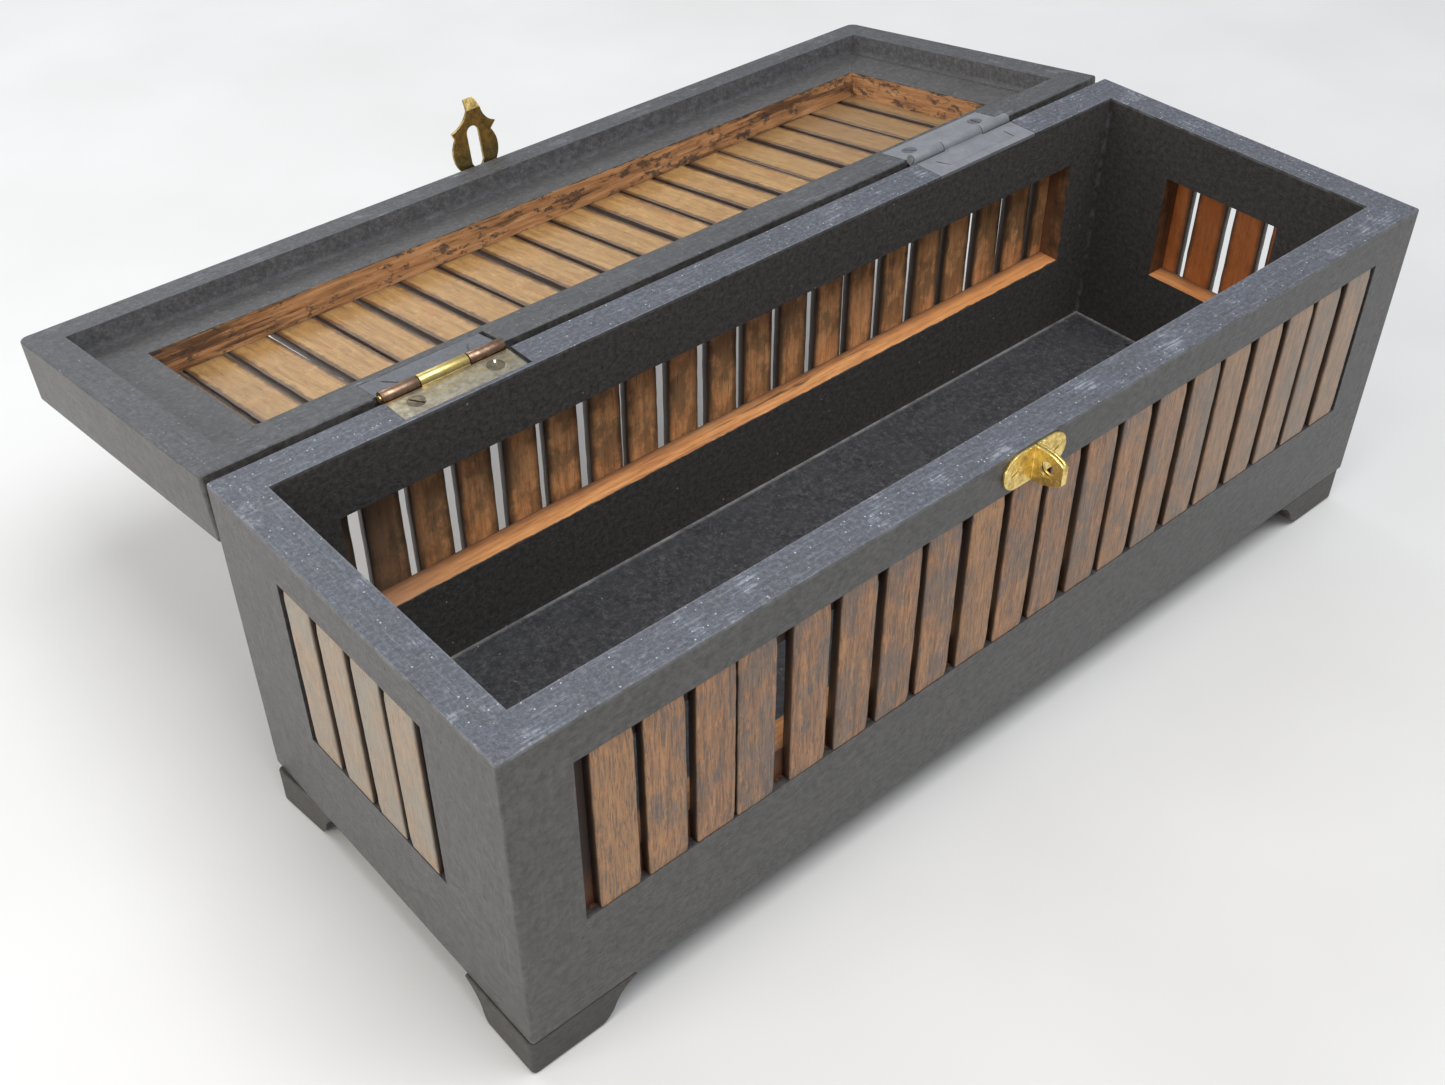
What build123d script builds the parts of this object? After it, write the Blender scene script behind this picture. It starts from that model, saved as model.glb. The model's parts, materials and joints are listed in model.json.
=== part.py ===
from build123d import *
import os
from math import asin, atan, degrees, hypot, sin

# A hinged keepsake box of painted wood with slatted windows in its walls and lid, on four corner feet,
# with two butt hinges at the back, and a brass hasp on the lid that drops over a folded staple.
# Millimetres, +Z up. The origin is the centre of the box's footprint, on the surface it stands on.
# +X runs along the length, and the front, with the staple, faces -Y. The lid is modelled open, at its stop.

# Box
LENGTH = 330.0
WIDTH = 117.0
RIM_Z = 108.0
FOOT_HEIGHT = 12.0
SIDE_THICK = 11.0
END_THICK = 10.5
WALL_EDGE_ROUND = 0.9
WALL_FOOT_ROUND = 0.8
RIM_ROUND = 0.6

# Window frames: each window has a rebate on its outer side that takes the slats, and a shoulder behind them
WINDOW_LOW = 44.0
WINDOW_HIGH = 96.0
SIDE_STILE = 18.0
END_STILE = 29.0
SHOULDER_LOW = 9.5
SHOULDER_HIGH = 6.5
SHOULDER_SIDE = 8.5

# Slats
SLAT_THICK = 3.0
SLAT_EDGE = 0.3
SLAT_END_GAP = 0.1
SLAT_WANDER = 0.35
SLAT_LEAN_DEG = 0.3
# A row may sit a little to one side in its window, and in the long rows one slat has slipped sideways
SLAT_ROWS = {
    "front": {"count": 20, "width": 11.7, "shift": 0.9, "slipped": 3, "slip": -2.75},
    "back": {"count": 20, "width": 11.1, "shift": 0.0, "slipped": 12, "slip": 1.3},
    "left": {"count": 4, "width": 11.6, "shift": -0.2, "slipped": 0, "slip": 0.0},
    "right": {"count": 4, "width": 10.9, "shift": 0.0, "slipped": 0, "slip": 0.0},
    "lid": {"count": 20, "width": 13.0, "shift": 0.2, "slipped": 15, "slip": -0.5},
}

# Floor panel, held in a groove round the walls
FLOOR_TOP = 26.5
FLOOR_THICK = 6.0
GROOVE_DEPTH = 4.0

# Feet
FOOT_ALONG = {"sole": 18.0, "waist": 24.8, "toe": 31.5}
FOOT_ACROSS = {"sole": 16.8, "waist": 20.4, "toe": 26.5}
FOOT_WAIST_Z = 5.0
FOOT_TOE_THICK = 0.8
FOOT_CORNER_ROUND = 1.3
FOOT_EDGE_ROUND = 1.0
FOOT_TOP_ROUND = 0.4

# Lid
LID_DEPTH = 19.0
LID_RIM_DEPTH = 7.0
LID_END_THICK = 10.0
LID_HASP_CORNER_ROUND = 3.0
LID_HINGE_CORNER_ROUND = 1.1
LID_TOP_ROUND = 1.0
LID_WINDOW_MARGIN = 18.0
LID_SHOULDER = 8.0
RIM_GAP = 0.3
STOP_GAP = 0.3

# Butt hinges
HINGE_OUT = 1.7
BARREL_RADIUS = 1.9
BARREL_RELIEF = 0.3
PIN_RADIUS = 0.9
RUNNING_FIT = 0.05
LEAF_THICK = 1.1
MIDDLE_KNUCKLE = 0.4
KNUCKLE_GAP = 0.3
PIN_END = 0.4
LEFT_HINGE = {"x": -97.6, "length": 37.0, "reach": 9.6, "slack": 1.4}
RIGHT_HINGE = {"x": 95.5, "length": 43.0, "reach": 10.9, "slack": 0.2}
SCREW_INSET = 6.5
SCREW_HEAD_RADIUS = 2.5
SCREW_HEAD_DEPTH = 1.0
SCREW_SHANK_RADIUS = 1.2
SCREW_LENGTH = 9.0
SCREW_SLOT_WIDTH = 0.6
SCREW_SLOT_DEPTH = 0.5

# Hasp and staple
LATCH_X = -6.3
HASP_AXIS_OUT = 1.9
HASP_AXIS_RISE = 4.0
HASP_SHEET = 1.0
HASP_BARREL_RADIUS = 1.5
HASP_PIN_RADIUS = 0.7
HASP_HALF_WIDTH = 8.5
HASP_MIDDLE_HALF = 3.0
HASP_LEAF_TOP = 16.0
HASP_SLOT_WIDTH = 4.7
HASP_RISE = 1.0
HASP_SLOT_START = 1.4
HASP_SLOT_END = 12.5
HASP_LIP_START = 18.5
HASP_LIP_LENGTH = 3.8
HASP_LIP_DEG = 35.0
HASP_LIP_HALF = 2.6
HASP_LEAN = 1.8
HASP_SCREW_X = 5.2
HASP_SCREW_RISE = 11.0
STAPLE_SHEET = 0.8
STAPLE_SEAM = 0.3
STAPLE_EAR_REACH = 11.4
STAPLE_EAR_RADIUS = 5.2
STAPLE_MIDDLE_Z = 102.2
STAPLE_REACH = 9.8
EYE_RADIUS = 2.1
EYE_OUT = 5.0
EYE_Z = 102.6
STAPLE_NAIL_X = 7.2
SMALL_HEAD_RADIUS = 1.7
SMALL_SHANK_RADIUS = 0.8
SMALL_SCREW_LENGTH = 8.0

HALF_LENGTH = LENGTH / 2
HALF_WIDTH = WIDTH / 2
LID_RIM_Z = RIM_Z + RIM_GAP
LID_TOP_Z = LID_RIM_Z + LID_DEPTH
HINGE_Y = HALF_WIDTH + HINGE_OUT
HINGE_Z = RIM_Z + RIM_GAP / 2
# The open lid leans on the box's back with its lower edge, which turns it a little past a half turn
LID_BACK_EDGE = LID_DEPTH + RIM_GAP / 2
LID_OVERTURN = degrees(
    asin((HINGE_OUT - STOP_GAP) / hypot(LID_BACK_EDGE, HINGE_OUT)) + atan(HINGE_OUT / LID_BACK_EDGE)
)
LID_OPEN_DEG = 180.0 + LID_OVERTURN


def upright(points, near, far):
    """A prism with its outline in X and Z, from Y near to Y far."""
    face = Plane(origin=(0, near, 0), x_dir=(1, 0, 0), z_dir=(0, -1, 0)) * make_face(
        Polyline(*points, close=True)
    )
    return extrude(face, amount=far - near, dir=(0, 1, 0))


def flat(points, low, high):
    """A prism with its outline in X and Y, from Z low to Z high."""
    face = Pos(0, 0, low) * make_face(Polyline(*points, close=True))
    return extrude(face, amount=high - low, dir=(0, 0, 1))


def cuboid(x, y, z):
    """A box between the given pairs of limits."""
    middle = [(a + b) / 2 for a, b in (x, y, z)]
    return Pos(*middle) * Box(x[1] - x[0], y[1] - y[0], z[1] - z[0])


def rod(radius, start, end):
    """A round bar between two points."""
    axis = Vector(*end) - Vector(*start)
    return Plane(origin=start, z_dir=axis) * Cylinder(
        radius, axis.length, align=(Align.CENTER, Align.CENTER, Align.MIN)
    )


def save(shape, name):
    export_step(shape, f"parts/{name}.step")


def mitre_point(corner, outer):
    """Where a 45 degree mitre from a window's corner leaves the frame."""
    across = outer[0] - corner[0]
    along = outer[1] - corner[1]
    step = min(abs(across), abs(along))
    return (corner[0] + step * (1 if across > 0 else -1), corner[1] + step * (1 if along > 0 else -1))


def frame_outlines(outer, window, opening):
    """The four mitred members of a frame, as outlines.

    outer, window and opening are (left, low, right, high). A member owns a corner of the frame where its
    mitre leaves by the other edge. With an opening, each member also has its stretch of the shoulder.
    """
    corners = ((0, 1), (2, 1), (2, 3), (0, 3))
    inner = [(opening[i], opening[j]) if opening else None for i, j in corners]
    sills = [(window[i], window[j]) for i, j in corners]
    edges = [(outer[i], outer[j]) for i, j in corners]
    mitres = [mitre_point(sill, edge) for sill, edge in zip(sills, edges)]
    outlines = {}
    for name, first, second, edge_axis in (
        ("bottom_rail", 0, 1, 1),
        ("right_stile", 1, 2, 0),
        ("top_rail", 2, 3, 1),
        ("left_stile", 3, 0, 0),
    ):
        points = [inner[second], inner[first], sills[first], mitres[first]]
        for corner in (first, second):
            on_own_edge = abs(mitres[corner][edge_axis] - edges[corner][edge_axis]) < 1e-6
            points.append(None if on_own_edge else edges[corner])
        points += [mitres[second], sills[second]]
        outlines[name] = [p for p in points if p]
    return outlines


def framed(outer, window, opening, thick, prism):
    """The members of a frame with a rebate SLAT_THICK deep.

    prism(points, from depth, to depth) makes each layer.
    """
    front = frame_outlines(outer, window, None)
    back = frame_outlines(outer, window, opening)
    return {name: prism(front[name], 0, SLAT_THICK) + prism(back[name], SLAT_THICK, thick) for name in front}


def slat_row(row, window, prism):
    """Slats side by side in a window, set by hand: their places wander a little, and each leans a little."""
    left, low, right, high = window
    count, width = row["count"], row["width"]
    gap = (right - left - count * width) / (count + 1)
    middle = (low + high) / 2
    slats = []
    for i in range(count):
        across = left + gap + width / 2 + i * (gap + width) + row["shift"]
        across += SLAT_WANDER * sin(2.3 * i + count)
        if i == row["slipped"]:
            across += row["slip"]
        lean = SLAT_LEAN_DEG * sin(1.7 * i + count)
        outline = Pos(across, middle) * Rot(0, 0, lean) * Rectangle(width, high - low - 2 * SLAT_END_GAP)
        slats.append(prism(outline))
    return slats


# ---------------------------------------------------------------- hinges


def butt_hinge(x, length, reach, slack):
    """A hinge with the lid closed: leaves, pin, screws, and what the wood loses to take them.

    The box's leaf has the middle knuckle and the lid's leaf the outer two.
    """
    half = length / 2
    middle_half = length * MIDDLE_KNUCKLE / 2
    start, end = x - half, x + half
    inner_edge = HALF_WIDTH - reach
    clear_y = HINGE_Y - BARREL_RADIUS - BARREL_RELIEF
    bore = rod(PIN_RADIUS + RUNNING_FIT, (start - 1, HINGE_Y, HINGE_Z), (end + 1, HINGE_Y, HINGE_Z))
    tight_bore = rod(PIN_RADIUS, (start - 1, HINGE_Y, HINGE_Z), (end + 1, HINGE_Y, HINGE_Z))
    barrel = rod(BARREL_RADIUS, (start, HINGE_Y, HINGE_Z), (end, HINGE_Y, HINGE_Z))
    centre = cuboid(
        (x - middle_half, x + middle_half),
        (clear_y - 1, HINGE_Y + 3),
        (HINGE_Z - 3, HINGE_Z + 3),
    )
    kept = cuboid(
        (x - middle_half - KNUCKLE_GAP, x + middle_half + KNUCKLE_GAP),
        (clear_y, HINGE_Y + 3),
        (HINGE_Z - 3, HINGE_Z + 3),
    )
    pieces = {}
    cuts = {}
    for side, low, high, outward in (
        ("box", RIM_Z - LEAF_THICK, RIM_Z, 1),
        ("lid", LID_RIM_Z, LID_RIM_Z + LEAF_THICK, -1),
    ):
        wing = cuboid((start, end), (inner_edge, clear_y), (low, high))
        root = cuboid((start, end), (clear_y, HINGE_Y - BARREL_RADIUS / 2), (low, high))
        if side == "box":
            leaf = wing + (root & centre) + (barrel & centre) - tight_bore
        else:
            leaf = wing + (root - kept) + (barrel - kept) - bore
        face_z = high if side == "box" else low
        screws = []
        for screw_x in (start + SCREW_INSET, end - SCREW_INSET):
            screw_y = (inner_edge + HALF_WIDTH) / 2
            turn = 0 if side == "box" else 180
            place = Pos(screw_x, screw_y, face_z) * Rot(turn, 0, 0)
            turned = wood_screw(SCREW_HEAD_RADIUS, SCREW_SHANK_RADIUS, SCREW_LENGTH, 35 * screw_x)
            screws.append(place * turned)
            leaf = leaf - place * countersink(SCREW_HEAD_RADIUS, SCREW_SHANK_RADIUS)
        pieces[f"{side}_leaf"] = leaf
        pieces[f"{side}_screws"] = screws
        mortise = cuboid((start - 0.1, end + slack), (inner_edge - 0.1, HALF_WIDTH + 5), (low, high))
        relief = rod(
            BARREL_RADIUS + BARREL_RELIEF,
            (start - 1, HINGE_Y, HINGE_Z),
            (end + 1, HINGE_Y, HINGE_Z),
        )
        holes = [
            rod(SCREW_SHANK_RADIUS, (s, screw_y, face_z), (s, screw_y, face_z - outward * SCREW_LENGTH))
            for s in (start + SCREW_INSET, end - SCREW_INSET)
        ]
        cuts[side] = [mortise, relief, *holes]
    pieces["pin"] = rod(
        PIN_RADIUS,
        (start - PIN_END, HINGE_Y, HINGE_Z),
        (end + PIN_END, HINGE_Y, HINGE_Z),
    )
    return pieces, cuts


def countersink(head_radius, shank_radius):
    """The space that a screw's head and shank take in a leaf, mouth at Z 0."""
    cone = Pos(0, 0, -SCREW_HEAD_DEPTH / 2) * Cone(shank_radius, head_radius, SCREW_HEAD_DEPTH)
    return cone + Pos(0, 0, -2) * Cylinder(shank_radius, 4)


def wood_screw(head_radius, shank_radius, length, slot_turn):
    """A countersunk slotted screw pointing down from Z 0."""
    head = Pos(0, 0, -SCREW_HEAD_DEPTH / 2) * Cone(shank_radius, head_radius, SCREW_HEAD_DEPTH)
    shank = Pos(0, 0, -length / 2) * Cylinder(shank_radius, length)
    slot = Rot(0, 0, slot_turn) * Box(3 * head_radius, SCREW_SLOT_WIDTH, 2 * SCREW_SLOT_DEPTH)
    return head + shank - slot


# ---------------------------------------------------------------- walls


def wall(half_length, half_depth, thick, next_thick, stile, turn):
    """A wall's four members, its outer face at -half_depth before it is turned into place about Z."""
    outer = (-half_length, FOOT_HEIGHT, half_length, RIM_Z)
    window = (stile - half_length, WINDOW_LOW, half_length - stile, WINDOW_HIGH)
    opening = (
        window[0] + SHOULDER_SIDE,
        WINDOW_LOW + SHOULDER_LOW,
        window[2] - SHOULDER_SIDE,
        WINDOW_HIGH - SHOULDER_HIGH,
    )

    def layer(points, near, far):
        return upright(points, near - half_depth, far - half_depth)

    inner_half = half_length - next_thick
    plan = flat(
        [
            (-half_length, -half_depth),
            (half_length, -half_depth),
            (inner_half, thick - half_depth),
            (-inner_half, thick - half_depth),
        ],
        FOOT_HEIGHT,
        RIM_Z,
    )
    members = framed(outer, window, opening, thick, layer)
    return window, {name: Rot(0, 0, turn) * (member & plan) for name, member in members.items()}


def wall_slats(row, window, half_depth, turn):
    """A wall's slats, flush with its outer face."""

    def slat(outline):
        face = Plane(origin=(0, -half_depth, 0), x_dir=(1, 0, 0), z_dir=(0, -1, 0)) * outline
        solid = extrude(face, amount=SLAT_THICK, dir=(0, 1, 0))
        outer_edges = solid.faces().sort_by(Axis.Y)[0].edges()
        return Rot(0, 0, turn) * chamfer(outer_edges, SLAT_EDGE)

    return slat_row(row, window, slat)


def rounded_box(x, y, z, front_round, back_round, low_round, high_round):
    """A box with its upright edges rounded, front and back, and then its lower and upper edges."""
    solid = cuboid(x, y, z)
    upright_edges = solid.edges().filter_by(Axis.Z).sort_by(Axis.Y)
    solid = fillet(upright_edges[:2], front_round)
    solid = fillet(solid.edges().filter_by(Axis.Z).sort_by(Axis.Y)[-2:], back_round)
    solid = fillet(solid.faces().sort_by(Axis.Z)[0].edges(), low_round)
    return fillet(solid.faces().sort_by(Axis.Z)[-1].edges(), high_round)


# ---------------------------------------------------------------- feet


def foot_side(sole, waist, toe):
    """A foot's outline from its corner at 0: a flat sole, then an ogee up to a thin toe under the wall."""
    toe_z = FOOT_HEIGHT - FOOT_TOE_THICK
    bulge = (sole + 0.64 * (waist - sole), 0.36 * FOOT_WAIST_Z)
    hollow = (waist + 0.38 * (toe - waist), FOOT_WAIST_Z + 0.60 * (toe_z - FOOT_WAIST_Z))
    side = Polyline((toe, toe_z), (toe, FOOT_HEIGHT), (0, FOOT_HEIGHT), (0, 0), (sole, 0))
    side += ThreePointArc((sole, 0), bulge, (waist, FOOT_WAIST_Z))
    side += ThreePointArc((waist, FOOT_WAIST_Z), hollow, (toe, toe_z))
    return make_face(side)


def foot(sign_x, sign_y, shift_x, shift_y, twist):
    """A corner foot: a block whose two inner sides are shaped under the wall."""
    turn = {(-1, -1): 0, (1, -1): 90, (1, 1): 180, (-1, 1): 270}[(sign_x, sign_y)]
    first, second = (FOOT_ALONG, FOOT_ACROSS) if turn % 180 == 0 else (FOOT_ACROSS, FOOT_ALONG)
    along_x = extrude(Plane.XZ * foot_side(**first), amount=second["toe"], dir=(0, 1, 0))
    along_y = extrude(Plane.YZ * foot_side(**second), amount=first["toe"], dir=(1, 0, 0))
    hull = rounded_box(
        (0, 2 * first["toe"]),
        (0, 2 * second["toe"]),
        (0, FOOT_HEIGHT),
        FOOT_CORNER_ROUND,
        FOOT_CORNER_ROUND,
        FOOT_EDGE_ROUND,
        FOOT_TOP_ROUND,
    )
    corner = Pos(sign_x * HALF_LENGTH + shift_x, sign_y * HALF_WIDTH + shift_y, 0)
    return corner * Rot(0, 0, turn + twist) * (along_x & along_y & hull)


# ---------------------------------------------------------------- latch


def small_screw():
    return wood_screw(SMALL_HEAD_RADIUS, SMALL_SHANK_RADIUS, SMALL_SCREW_LENGTH, 25)


def staple():
    """A sheet folded in two: two ears flat on the wall, and a double wing that stands out, with an eye."""
    wall_y = -HALF_WIDTH
    inner = STAPLE_SEAM / 2
    outer = inner + STAPLE_SHEET
    tip_y = wall_y - STAPLE_REACH
    root_low = STAPLE_MIDDLE_Z - STAPLE_EAR_RADIUS
    root_high = STAPLE_MIDDLE_Z + STAPLE_EAR_RADIUS
    outline = Polyline((0, root_high), (0, root_low), (2, root_low))
    outline += ThreePointArc((2, root_low), (6.0, root_low + 1.0), (STAPLE_REACH, root_low + 3.0))
    outline += Polyline((STAPLE_REACH, root_low + 3.0), (STAPLE_REACH, root_high - 2.0))
    outline += ThreePointArc((STAPLE_REACH, root_high - 2.0), (5.5, root_high - 0.1), (2, root_high))
    outline += Polyline((2, root_high), (0, root_high))
    side = Plane(origin=(-outer, wall_y, 0), x_dir=(0, -1, 0), z_dir=(-1, 0, 0)) * make_face(outline)
    wing = extrude(side, amount=2 * outer, dir=(1, 0, 0))
    seam = cuboid((-inner, inner), (tip_y + STAPLE_SHEET, wall_y + 1), (root_low - 1, root_high + 1))
    eye = rod(EYE_RADIUS, (-5, wall_y - EYE_OUT, EYE_Z), (5, wall_y - EYE_OUT, EYE_Z))
    ear_centre = STAPLE_EAR_REACH - STAPLE_EAR_RADIUS
    body = wing
    for side_sign in (-1, 1):
        plate = cuboid(
            sorted((side_sign * inner, side_sign * ear_centre)),
            (wall_y - STAPLE_SHEET, wall_y),
            (root_low, root_high),
        )
        plate += rod(
            STAPLE_EAR_RADIUS,
            (side_sign * ear_centre, wall_y, STAPLE_MIDDLE_Z),
            (side_sign * ear_centre, wall_y - STAPLE_SHEET, STAPLE_MIDDLE_Z),
        )
        body = body + plate
    body = body - seam - eye
    nails = []
    for side_sign in (-1, 1):
        place = Pos(side_sign * STAPLE_NAIL_X, wall_y - STAPLE_SHEET, STAPLE_MIDDLE_Z) * Rot(90, 0, 0)
        nails.append(place * small_screw())
        body = body - place * countersink(SMALL_HEAD_RADIUS, SMALL_SHANK_RADIUS)
    move = Pos(LATCH_X, 0, 0)
    return move * body, [move * nail for nail in nails]


def hasp():
    """The hasp with the lid closed: a leaf fixed to the lid's front, and a slotted plate hung from it."""
    face_y = -HALF_WIDTH
    axis_y = face_y - HASP_AXIS_OUT
    axis_z = LID_RIM_Z + HASP_AXIS_RISE
    half = HASP_HALF_WIDTH
    middle = HASP_MIDDLE_HALF
    clear = HASP_BARREL_RADIUS + KNUCKLE_GAP
    barrel = rod(HASP_BARREL_RADIUS, (-half, axis_y, axis_z), (half, axis_y, axis_z))
    centre = cuboid((-middle, middle), (axis_y - 3, axis_y + 3), (axis_z - 3, axis_z + 3))
    wide_centre = cuboid(
        (-middle - KNUCKLE_GAP, middle + KNUCKLE_GAP),
        (axis_y - 3, axis_y + 3),
        (axis_z - clear, axis_z + 3),
    )
    leaf_top = LID_RIM_Z + HASP_LEAF_TOP
    leaf = cuboid((-half, half), (face_y - HASP_SHEET, face_y), (axis_z + clear, leaf_top))
    leaf = chamfer(leaf.edges().filter_by(Axis.Y).group_by(Axis.Z)[-1], 2.5)
    leaf += cuboid((-middle, middle), (face_y - HASP_SHEET, face_y), (axis_z, axis_z + clear))
    leaf += barrel & centre
    leaf -= rod(HASP_PIN_RADIUS, (-half - 1, axis_y, axis_z), (half + 1, axis_y, axis_z))
    screws = []
    for side_sign in (-1, 1):
        place = Pos(side_sign * HASP_SCREW_X, face_y - HASP_SHEET, LID_RIM_Z + HASP_SCREW_RISE)
        place = place * Rot(90, 0, 0)
        screws.append(place * small_screw())
        leaf -= place * countersink(SMALL_HEAD_RADIUS, SMALL_SHANK_RADIUS)

    # The plate's outline: a waist just above the rim, round lobes, a pair of cusps and a neck up to the lip
    rim = LID_RIM_Z + HASP_RISE
    lip_z = rim - HASP_LIP_START
    outline = []
    for sign in (-1, 1):
        cusp = (sign * 8.45 + 0.4 * HASP_LEAN, rim - 12.8)
        neck = (sign * 4.3 + 0.7 * HASP_LEAN, rim - 15.4)
        lip_corner = (sign * HASP_LIP_HALF + HASP_LEAN, lip_z)
        edge = Polyline((0, lip_z), (0, axis_z), (sign * half, axis_z), (sign * half, rim + 2.4))
        edge += ThreePointArc((sign * half, rim + 2.4), (sign * 7.0, rim + 1.8), (sign * 6.4, rim + 0.6))
        edge += ThreePointArc((sign * 6.4, rim + 0.6), (sign * 8.65, rim - 5.3), (sign * 6.9, rim - 10.6))
        edge += Line((sign * 6.9, rim - 10.6), cusp)
        edge += ThreePointArc(cusp, neck, lip_corner)
        edge += Line(lip_corner, (0, lip_z))
        outline.append(make_face(edge))
    outline = outline[0] + outline[1]
    sheet_y = axis_y - HASP_SHEET / 2
    plate = extrude(
        Plane(origin=(0, sheet_y, 0), x_dir=(1, 0, 0), z_dir=(0, -1, 0)) * outline,
        amount=HASP_SHEET,
        dir=(0, 1, 0),
    )
    slot_high = LID_RIM_Z + HASP_SLOT_START
    slot_low = LID_RIM_Z - HASP_SLOT_END
    end_radius = HASP_SLOT_WIDTH / 2
    slot = cuboid(
        (-end_radius, end_radius),
        (sheet_y - 1, sheet_y + 3),
        (slot_low + end_radius, slot_high - end_radius),
    )
    for z in (slot_low + end_radius, slot_high - end_radius):
        slot += rod(end_radius, (0, sheet_y - 1, z), (0, sheet_y + 3, z))
    tip_half = 0.7 * HASP_LIP_HALF
    lip = flat(
        [(-HASP_LIP_HALF, 0), (HASP_LIP_HALF, 0), (tip_half, HASP_LIP_LENGTH), (-tip_half, HASP_LIP_LENGTH)],
        -HASP_SHEET / 2,
        HASP_SHEET / 2,
    )
    lip += rod(HASP_SHEET / 2, (-HASP_LIP_HALF, 0, 0), (HASP_LIP_HALF, 0, 0))
    plate += Pos(HASP_LEAN, axis_y, lip_z) * Rot(-90 - HASP_LIP_DEG, 0, 0) * lip
    plate = plate - wide_centre - slot
    plate += barrel - wide_centre
    plate -= rod(HASP_PIN_RADIUS + RUNNING_FIT, (-half - 1, axis_y, axis_z), (half + 1, axis_y, axis_z))
    pin = rod(HASP_PIN_RADIUS, (-half - 0.3, axis_y, axis_z), (half + 0.3, axis_y, axis_z))
    move = Pos(LATCH_X, 0, 0)
    return move * leaf, move * plate, move * pin, [move * screw for screw in screws]


# ---------------------------------------------------------------- lid


def opened(shape):
    """A lid piece, turned about the hinges from the closed lid to its stop."""
    return Pos(0, HINGE_Y, HINGE_Z) * Rot(-LID_OPEN_DEG, 0, 0) * Pos(0, -HINGE_Y, -HINGE_Z) * shape


def lid_rails():
    """Four rails round the lid: the long ones run its whole length and the end ones fit between them."""
    rails = {}
    for name, sign in (("lid_front_rail", -1), ("lid_back_rail", 1)):
        y = sorted((sign * HALF_WIDTH, sign * (HALF_WIDTH - SIDE_THICK)))
        rails[name] = cuboid((-HALF_LENGTH, HALF_LENGTH), y, (LID_RIM_Z, LID_TOP_Z))
    for name, sign in (("lid_left_rail", -1), ("lid_right_rail", 1)):
        x = sorted((sign * HALF_LENGTH, sign * (HALF_LENGTH - LID_END_THICK)))
        y = (SIDE_THICK - HALF_WIDTH, HALF_WIDTH - SIDE_THICK)
        rails[name] = cuboid(x, y, (LID_RIM_Z, LID_TOP_Z))
    return rails


def lid_panel():
    """The mitred frame let into the lid's rails, with the slats in a rebate in its upper side."""
    x = HALF_LENGTH - LID_END_THICK
    y = HALF_WIDTH - SIDE_THICK
    window_x = HALF_LENGTH - LID_WINDOW_MARGIN
    window_y = HALF_WIDTH - LID_WINDOW_MARGIN
    opening_x = window_x - LID_SHOULDER
    opening_y = window_y - LID_SHOULDER
    window = (-window_x, -window_y, window_x, window_y)
    thick = LID_DEPTH - LID_RIM_DEPTH

    def layer(points, near, far):
        return flat(points, LID_TOP_Z - far, LID_TOP_Z - near)

    def slat(outline):
        solid = extrude(Pos(0, 0, LID_TOP_Z - SLAT_THICK) * outline, amount=SLAT_THICK, dir=(0, 0, 1))
        return chamfer(solid.faces().sort_by(Axis.Z)[-1].edges(), SLAT_EDGE)

    members = framed((-x, -y, x, y), window, (-opening_x, -opening_y, opening_x, opening_y), thick, layer)
    return members, slat_row(SLAT_ROWS["lid"], window, slat)


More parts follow.
